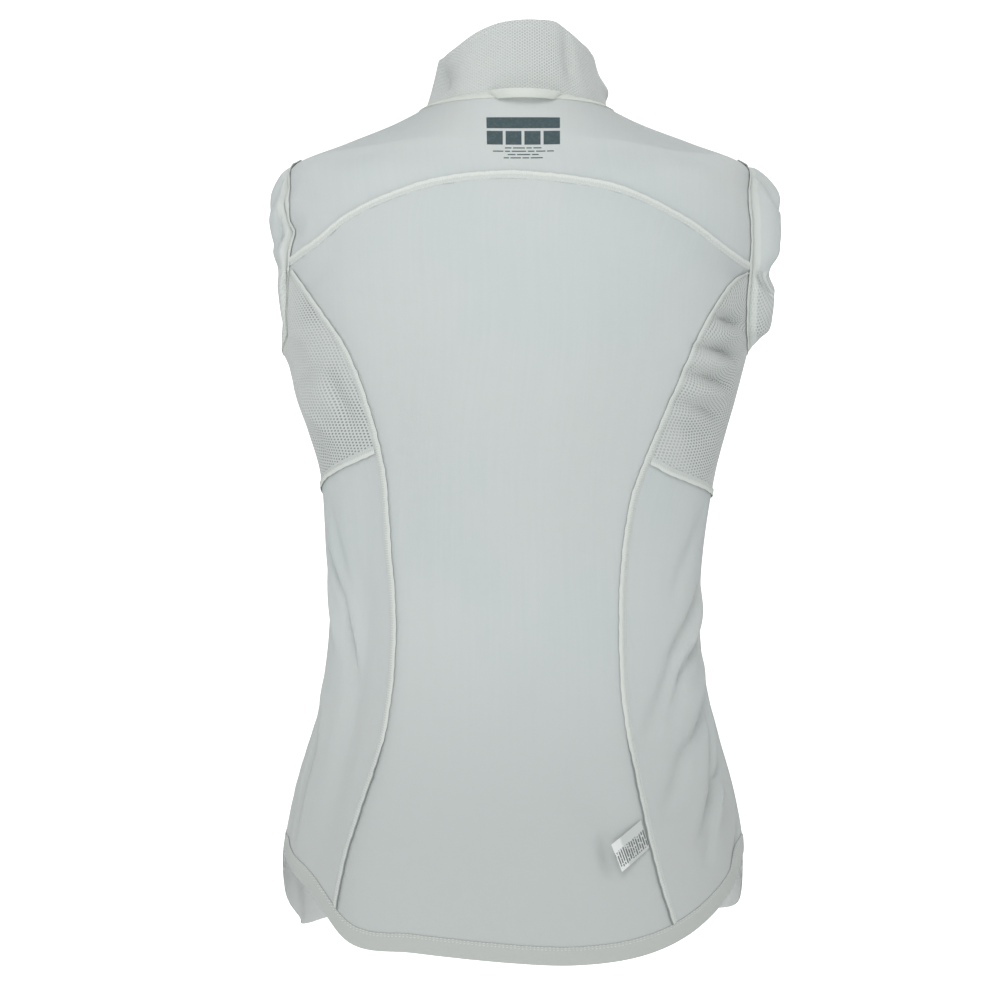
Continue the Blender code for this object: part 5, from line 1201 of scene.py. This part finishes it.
# --- finishes ---
class Finish:
    """One material, with short ways to add its nodes. Its place is in the jacket's metres."""

    def __init__(self, name, roughness, sheen=0.0):
        self.material = bpy.data.materials.new(name)
        self.material.use_nodes = True
        self.tree = self.material.node_tree
        self.given = self.tree.nodes["Principled BSDF"].inputs
        self.given["Roughness"].default_value = roughness
        self.given["Specular IOR Level"].default_value = SHINE
        if sheen:
            self.given["Sheen Weight"].default_value = sheen
            self.given["Sheen Roughness"].default_value = SHEEN_SPREAD
        self.place = self.add("ShaderNodeTexCoord")["Object"]
        self.cloth = self.add("ShaderNodeUVMap", uv_map="UVMap")["UV"]

    def add(self, kind, *values, **settings):
        """The outputs of a new node, with the values of its inputs in order."""
        return add_node(self.tree, kind, enumerate(values), **settings).outputs

    def maths(self, operation, *values):
        return self.add("ShaderNodeMath", *values, operation=operation)[0]

    def scaled(self, value, by, plus=None):
        """The value by a factor, and plus a second value where there is one."""
        return self.times(value, by) if plus is None else self.maths("MULTIPLY_ADD", value, by, plus)

    def times(self, *values):
        """The product of two or more values."""
        product = values[0]
        for value in values[1:]:
            product = self.maths("MULTIPLY", product, value)
        return product

    def split(self, place):
        """The X, Y and Z of a place."""
        return self.add("ShaderNodeSeparateXYZ", place)

    def wave(self, direction, pitch, place=None):
        """Cosine along a direction of the cloth or of another place, one period a pitch."""
        direction = tuple(math.tau / pitch * d for d in direction)
        dot = self.add("ShaderNodeVectorMath", place or self.cloth, direction, operation="DOT_PRODUCT")
        return self.maths("COSINE", dot["Value"])

    def noise(self, scale, detail, place=None, stretch=None):
        place = place or self.place
        if stretch:
            place = self.add("ShaderNodeVectorMath", place, stretch, operation="MULTIPLY")[0]
        inputs = {"Vector": place, "Scale": scale, "Detail": detail}
        return add_node(self.tree, "ShaderNodeTexNoise", inputs).outputs["Fac"]

    def between(self, value, low, high):
        """0 below low, 1 above high, smooth between them; low may be the higher one."""
        return self.add("ShaderNodeMapRange", value, low, high, interpolation_type="SMOOTHSTEP")[0]

    def mix(self, share, first, second):
        colours = [(*value, 1.0) if isinstance(value, tuple) else value for value in (first, second)]
        inputs = {"Factor": share, 6: colours[0], 7: colours[1]}
        return add_node(self.tree, "ShaderNodeMix", inputs, data_type="RGBA").outputs[2]

    def raised(self, height, distance, under=None):
        inputs = {"Height": height, "Distance": distance}
        if under:
            inputs["Normal"] = under
        return add_node(self.tree, "ShaderNodeBump", inputs).outputs[0]

    def fuzzy(self, height, distance):
        """Raised, under the fine nap of brushed yarn."""
        return self.raised(self.noise(NAP_SCALE, detail=2.0), NAP_DEPTH, self.raised(height, distance))

    def knit_loops(self):
        return self.times(self.wave((1, 0, 0), KNIT_WALE), self.wave((0, 1, 0), KNIT_COURSE))

    def finished(self, colour, normal, roughness=None):
        for name, value in (("Base Color", colour), ("Normal", normal), ("Roughness", roughness)):
            if value:
                self.tree.links.new(value, self.given[name])
        return self.material


def knit_cloth(name, cool, warm, pale, low, band=0.0):
    """Wrong side of a smooth knit: fine rows of loops, faint streaks and cloudy changes of tone, and painted
    shade that makes it darker and greyer low down.

    Its other side is paler, partly its own colour and partly painted light for the jacket's shaded
    inside; a band of cloth beside a sleeve's armhole seam is paler too.
    """
    f = Finish(name, roughness=0.8, sheen=0.25)
    on_cloth = f.split(f.cloth)
    cloudy = f.between(f.noise(7.0, detail=3.0), low=0.3, high=0.7)
    streaks = f.between(f.noise(1.0, 2.0, f.cloth, stretch=(330.0, 9.0, 1.0)), low=0.35, high=0.65)
    shade = f.mix(f.scaled(streaks, by=0.14), f.mix(cloudy, cool, warm), pale)
    # painted shade: darker and greyer towards the bottom of the jacket
    shade = f.mix(f.between(f.split(f.place)["Z"], PAINTED_SHADE_TOP, PAINTED_SHADE_BOTTOM), shade, low)
    if band:
        shade = f.mix(f.between(on_cloth["Y"], band, band - BAND_EDGE), shade, BAND_CREAM)
    # the other side: paler in its own right, and brighter still as painted light where the jacket's inside
    # lies in shade
    shade = f.mix(f.between(on_cloth["X"], BACK_SIDE / 2, BACK_SIDE / 2 + 1.0), shade, KNIT_INSIDE_PAINTED_LIGHT)
    roughness = f.scaled(cloudy, by=0.08, plus=0.74)
    return f.finished(shade, f.fuzzy(f.knit_loops(), distance=0.00010), roughness)


def mesh_cloth(name, hole_shade_strength, squeeze, seen_from, seen_to, band=0.0):
    """Open knitted mesh: staggered holes between plump yarns, with painted shade seen through the holes.

    hole_shade_strength is how dark that painted shade is, at its darkest between two places along X,
    and squeeze is how much wider apart the holes stand up the cloth than across it.
    """
    f = Finish(name, roughness=0.85, sheen=0.3)
    x, up = f.split(f.place)["X"], f.split(f.cloth)["Y"]
    pitch, slope = MESH_PITCH * math.sqrt(3) / 2, math.sqrt(3) / 2
    ways = ((1, 0), (0.5, slope), (-0.5, slope))
    waves = [f.wave((across * squeeze, along, 0), pitch) for across, along in ways]
    holes = f.between(f.maths("ADD", f.maths("ADD", waves[0], waves[1]), waves[2]), low=0.3, high=1.7)
    # where the holes show their painted shade: uneven, and only between two places along X
    seen = f.scaled(f.between(f.noise(14.0, detail=2.0), low=0.42, high=0.60), by=0.65, plus=0.35)
    seen = f.times(seen, f.times(f.between(x, seen_from - HOLES_FADE, seen_from),
                                 f.between(x, seen_to + HOLES_FADE, seen_to)))
    depth, yarn = f.times(holes, seen), f.mix(f.noise(9.0, detail=3.0), MESH_COOL, MESH_WARM)
    if band:
        depth = f.times(depth, f.between(up, band - BAND_EDGE, band))
        yarn = f.mix(f.between(up, band, band - BAND_EDGE), yarn, BAND_CREAM)
    # painted shade in the holes
    colour = f.mix(f.times(depth, hole_shade_strength), yarn, HOLE_PAINTED_SHADE)
    return f.finished(colour, f.fuzzy(f.maths("SUBTRACT", 0.0, holes), distance=0.0005))


def overlock_edge(name, under):
    """Allowance bound with thread: a pale ridge with a painted highlight along its cut edge, and painted
    shadow over the edge.

    Low on the jacket the painted shadow is wider and the painted highlight weaker, as if the edge stood up.
    """
    f = Finish(name, roughness=0.75, sheen=0.2)
    from_edge = f.split(f.cloth)["Y"]
    uneven = f.noise(1.0, 2.0, f.cloth, stretch=(160.0, 0.0, 1.0))
    loops = f.wave((1.0, 0.25, 0), THREAD_PITCH)
    # painted highlight on the pale ridge by the cut edge, weaker low on the jacket
    ridge_highlight = f.between(f.scaled(uneven, HIGHLIGHT_WAVE, from_edge), HIGHLIGHT_FROM, HIGHLIGHT_TO)
    low = f.between(f.split(f.place)["Z"], EDGE_ON_TOP, EDGE_ON_BOTTOM)
    cream = f.mix(f.times(ridge_highlight, f.scaled(low, by=-0.75, plus=1.0)), TRIM_CREAM, TRIM_PALE_HIGHLIGHT)
    cream = f.mix(f.scaled(f.between(loops, low=0.2, high=-1.2), by=0.22), cream, TRIM_SHADE)
    from_edge = f.scaled(low, EDGE_ON_WIDTH, from_edge)
    # painted shadow over the cut edge, wider low on the jacket
    edge = f.between(f.scaled(uneven, EDGE_WAVE, from_edge), EDGE_FROM, EDGE_TO)
    return f.finished(f.mix(edge, cream, under), f.fuzzy(loops, distance=0.00012))


def tape_weave():
    """Woven tape: fine twill ribs along it."""
    f = Finish("tape_weave", roughness=0.7, sheen=0.15)
    ribs = f.times(f.wave((0.35, 1, 0), TAPE_PITCH), f.wave((1, 0, 0), TAPE_PITCH))
    cream = f.mix(f.noise(40.0, detail=3.0), TAPE_CREAM, TAPE_PALE)
    colour = f.mix(f.between(ribs, low=0.4, high=1.0), cream, TAPE_SHADE)
    return f.finished(colour, f.fuzzy(ribs, distance=0.00015))


def sewing_thread():
    f = Finish("sewing_thread", roughness=0.5, sheen=0.2)
    twist = f.wave((0.6, 0.2, 0.8), THREAD_TWIST, f.place)
    colour = f.mix(f.noise(300.0, detail=1.0), THREAD_CREAM, THREAD_PALE)
    return f.finished(colour, f.raised(twist, distance=0.00005))


def label_satin():
    """Satin with rows of plain grey dashes across it."""
    f = Finish("label_satin", roughness=0.38, sheen=0.1)
    on_cloth = f.split(f.cloth)
    u, v = on_cloth["X"], on_cloth["Y"]
    rows = f.maths("DIVIDE", u, LABEL_LINE_PITCH)
    in_row = f.maths("FRACT", rows)
    inked = f.times(f.between(in_row, low=0.20, high=0.32), f.between(in_row, low=0.88, high=0.76))
    place = f.add("ShaderNodeCombineXYZ", f.times(v, LABEL_DASH_SCALE),
                  f.times(f.maths("FLOOR", rows), LABEL_ROW_SHIFT))
    dashes = f.between(f.noise(1.0, 1.0, place[0]), low=0.38, high=0.44)
    top = LABEL_HEIGHT - LABEL_MARGIN
    inside = f.times(f.between(v, LABEL_MARGIN, LABEL_MARGIN + LABEL_EDGE),
                     f.between(v, top, top - LABEL_EDGE))
    satin = f.mix(f.between(u, LABEL_FOLD_FROM, LABEL_FOLD_TO), SATIN_GREY, SATIN_WHITE)
    colour = f.mix(f.scaled(f.times(inked, dashes, inside), by=0.9), satin, SATIN_INK)
    return f.finished(colour, f.raised(f.wave((0.2, 1, 0), LABEL_THREAD), distance=0.00004))


def print_ink():
    """Rubbery ink over the loops of the knit."""
    f = Finish("print_ink", roughness=0.55)
    colour = f.mix(f.between(f.noise(500.0, detail=2.0), low=0.4, high=0.7), INK_SLATE, INK_WORN)
    return f.finished(colour, f.raised(f.knit_loops(), distance=0.00006))


def zip_plastic():
    f = Finish("zip_plastic", roughness=0.35)
    colour = f.mix(f.noise(120.0, detail=2.0), PLASTIC_WHITE, PLASTIC_CREAM)
    roughness = f.scaled(f.noise(260.0, detail=3.0), by=0.25, plus=0.25)
    return f.finished(colour, f.raised(f.noise(900.0, detail=2.0), distance=0.00003), roughness)


# --- stage, lights and camera ---
def white_stage():
    """Pale floor well below the jacket and a white surround, which only the camera sees."""
    r = STAGE_RADIUS
    floor, surround = bpy.data.meshes.new("floor"), bpy.data.meshes.new("surround")
    corners = ((-r, -r), (r, -r), (r, r), (-r, r))
    floor.from_pydata([(x, y, FLOOR_LEVEL) for x, y in corners], [], [(0, 1, 2, 3)])
    shape = bmesh.new()
    bmesh.ops.create_icosphere(shape, subdivisions=3, radius=r)
    bmesh.ops.reverse_faces(shape, faces=shape.faces)
    shape.to_mesh(surround)
    shape.free()
    for mesh, glow in ((floor, FLOOR_GLOW), (surround, 1.0)):
        material = bpy.data.materials.new(mesh.name + "_white")
        material.use_nodes = True
        given = material.node_tree.nodes["Principled BSDF"].inputs
        given["Base Color"].default_value = STAGE_COLOUR
        given["Roughness"].default_value = STAGE_ROUGHNESS
        given["Emission Color"].default_value = (1.0, 1.0, 1.0, 1.0)
        given["Emission Strength"].default_value = glow
        mesh.materials.append(material)
        piece = bpy.data.objects.new(mesh.name, mesh)
        bpy.context.scene.collection.objects.link(piece)
        for ray in ("diffuse", "glossy", "transmission", "volume_scatter", "shadow"):
            setattr(piece, "visible_" + ray, False)


def aim(name, data, place, target):
    thing = bpy.data.objects.new(name, data)
    thing.location = place
    thing.rotation_euler = (Vector(target) - Vector(place)).to_track_quat("-Z", "Y").to_euler()
    bpy.context.scene.collection.objects.link(thing)
    return thing


def studio():
    white_stage()
    world = bpy.data.worlds.new("soft_room")
    world.use_nodes = True
    room = world.node_tree.nodes["Background"].inputs
    room["Color"].default_value = ROOM_COLOUR
    room["Strength"].default_value = ROOM_LIGHT
    bpy.context.scene.world = world
    for lamp in LAMPS:
        light = bpy.data.lights.new(lamp.name, "AREA")
        light.shape = "SQUARE"
        light.size = lamp.size
        light.energy = lamp.power
        aim(lamp.name, light, lamp.place, LIT_POINT)
    lens = bpy.data.cameras.new("photo_camera")
    lens.lens = CAMERA_LENS
    lens.sensor_width = CAMERA_SENSOR
    bpy.context.scene.camera = aim("photo_camera", lens, CAMERA_PLACE, CAMERA_TARGET)
    bpy.context.scene.view_settings.view_transform = "Standard"


# --- the whole jacket ---
def zip_row(band, word):
    """The line that a tape's teeth stand on, the right ones half a pitch on, between the left ones."""
    edge, flat = row_on(band, 0.0, -TAPE_WALL / 2), row_on(band, 0.5)
    shift = TOOTH_BEAD.pitch / 2 if word == "right" else 0.0
    along = unit(np.gradient(edge.points, axis=0))
    return Row(edge.points - flat.across * TOOTH_OUT + along * shift, flat.out, flat.across)


def collar_row(collar_grid):
    """The line that the collar's top stitches lie on, just below its rolled edge."""
    row = -len(COLLAR_ROLL_RISES) - COLLAR_STITCH_ROWS
    points = collar_grid[..., :3]
    return Row(points[row], collar_grid[row, :, 3:], unit(np.gradient(points, axis=0)[row]))


def sewing(strips, hem, tapes, loop, collar_grid, plastic):
    """Every stitch and tooth."""
    thread, tree = sewing_thread(), stitch_tree()

    def sew(name, bead, *rows):
        beads(name, tree, bead, thread, rows)

    sew("overlock_stitches", OVERLOCK_BEAD,
        *(row_on(seam.band, OVERLOCK_AT) for name, seam in strips.items() if name != "seam_yoke"))
    sew("yoke_cover_stitches", COVER_BEAD, *(row_on(strips["seam_yoke"].band, at) for at in YOKE_STITCHES))
    sew("hem_cover_stitches", COVER_BEAD, *(row_on(hem.band, at) for at in HEM_STITCHES))
    sew("collar_edge_stitches", COVER_BEAD, collar_row(collar_grid))
    for word, tape in tapes.items():
        beads("zip_teeth_" + word, tree, TOOTH_BEAD, plastic, [zip_row(tape.band, word)])
        sew("zip_tape_stitches_" + word, COVER_BEAD, row_on(tape.band, ZIP_STITCHES))
    sew("hanger_loop_stitches", COVER_BEAD, *(row_on(loop, at) for at in LOOP_STITCHES))


def golf_jacket():
    knit = knit_cloth("knit_cloth", *KNIT_COLOURS)
    sleeve_knit = knit_cloth("sleeve_knit", *KNIT_COLOURS, ARMHOLE_BAND)
    mesh = mesh_cloth("mesh_cloth", MESH_HOLE_SHADE_STRENGTH, SIDE_SQUEEZE, *SIDE_HOLES)
    sleeve_mesh = mesh_cloth("sleeve_mesh", MESH_HOLE_SHADE_STRENGTH, SLEEVE_SQUEEZE, *SIDE_HOLES, ARMHOLE_BAND)
    collar_mesh = mesh_cloth("collar_mesh", COLLAR_HOLE_SHADE_STRENGTH, COLLAR_SQUEEZE, *COLLAR_HOLES)
    tape, plastic = tape_weave(), zip_plastic()
    seams = {word: SideSeams(word) for word in ("left", "right")}
    yoke, back = back_yoke(*seams.values(), knit), back_center(*seams.values(), knit)
    sides = {}
    for word, lines in seams.items():
        sides[word] = {
            "mesh": Panel("side_mesh_" + word, lines.mesh_seam, lines.hole_under, lines.princess_high,
                          lines.side_high, mesh),
            "side": Panel("side_panel_" + word, lines.hem_side, lines.mesh_seam, lines.princess_low,
                          lines.side_low, knit),
            "front": front("front_" + word, lines, knit),
        }
        sleeve(word, yoke, sides[word]["mesh"], sides[word]["front"], sleeve_knit, sleeve_mesh)
    strips = {"neck_tape": strip("neck_tape", trimmed(yoke.lines("top", 0, BACK_COLUMNS), BESIDE, BESIDE),
                                 OVER_SEAM, NECK_TAPE, tape, lift=TAPE_LIFT, wave=TAPE_WAVE)}
    strips |= seam_allowances(yoke, back, sides, overlock_edge("overlock_edge", TRIM_PAINTED_SHADOW),
                              overlock_edge("armhole_edge", ARMHOLE_PAINTED_SHADOW))
    hem = hem_turn_up(sides, back, knit_cloth("hem_knit", *HEM_COLOURS))
    collar_grid = stand_collar(knit, collar_mesh)
    tapes = {word: zip_tape(word, panels["front"], collar_grid, tape) for word, panels in sides.items()}
    loop = hanger_loop(tape)
    care_label(label_satin())
    ink = neck_print(print_ink())
    rounded_copy("zip_slider", "jacket", plastic)
    rounded_copy("zip_pull_tab", "pull_tab", plastic)
    sewing(strips, hem, tapes, loop, collar_grid, plastic)


golf_jacket()
studio()
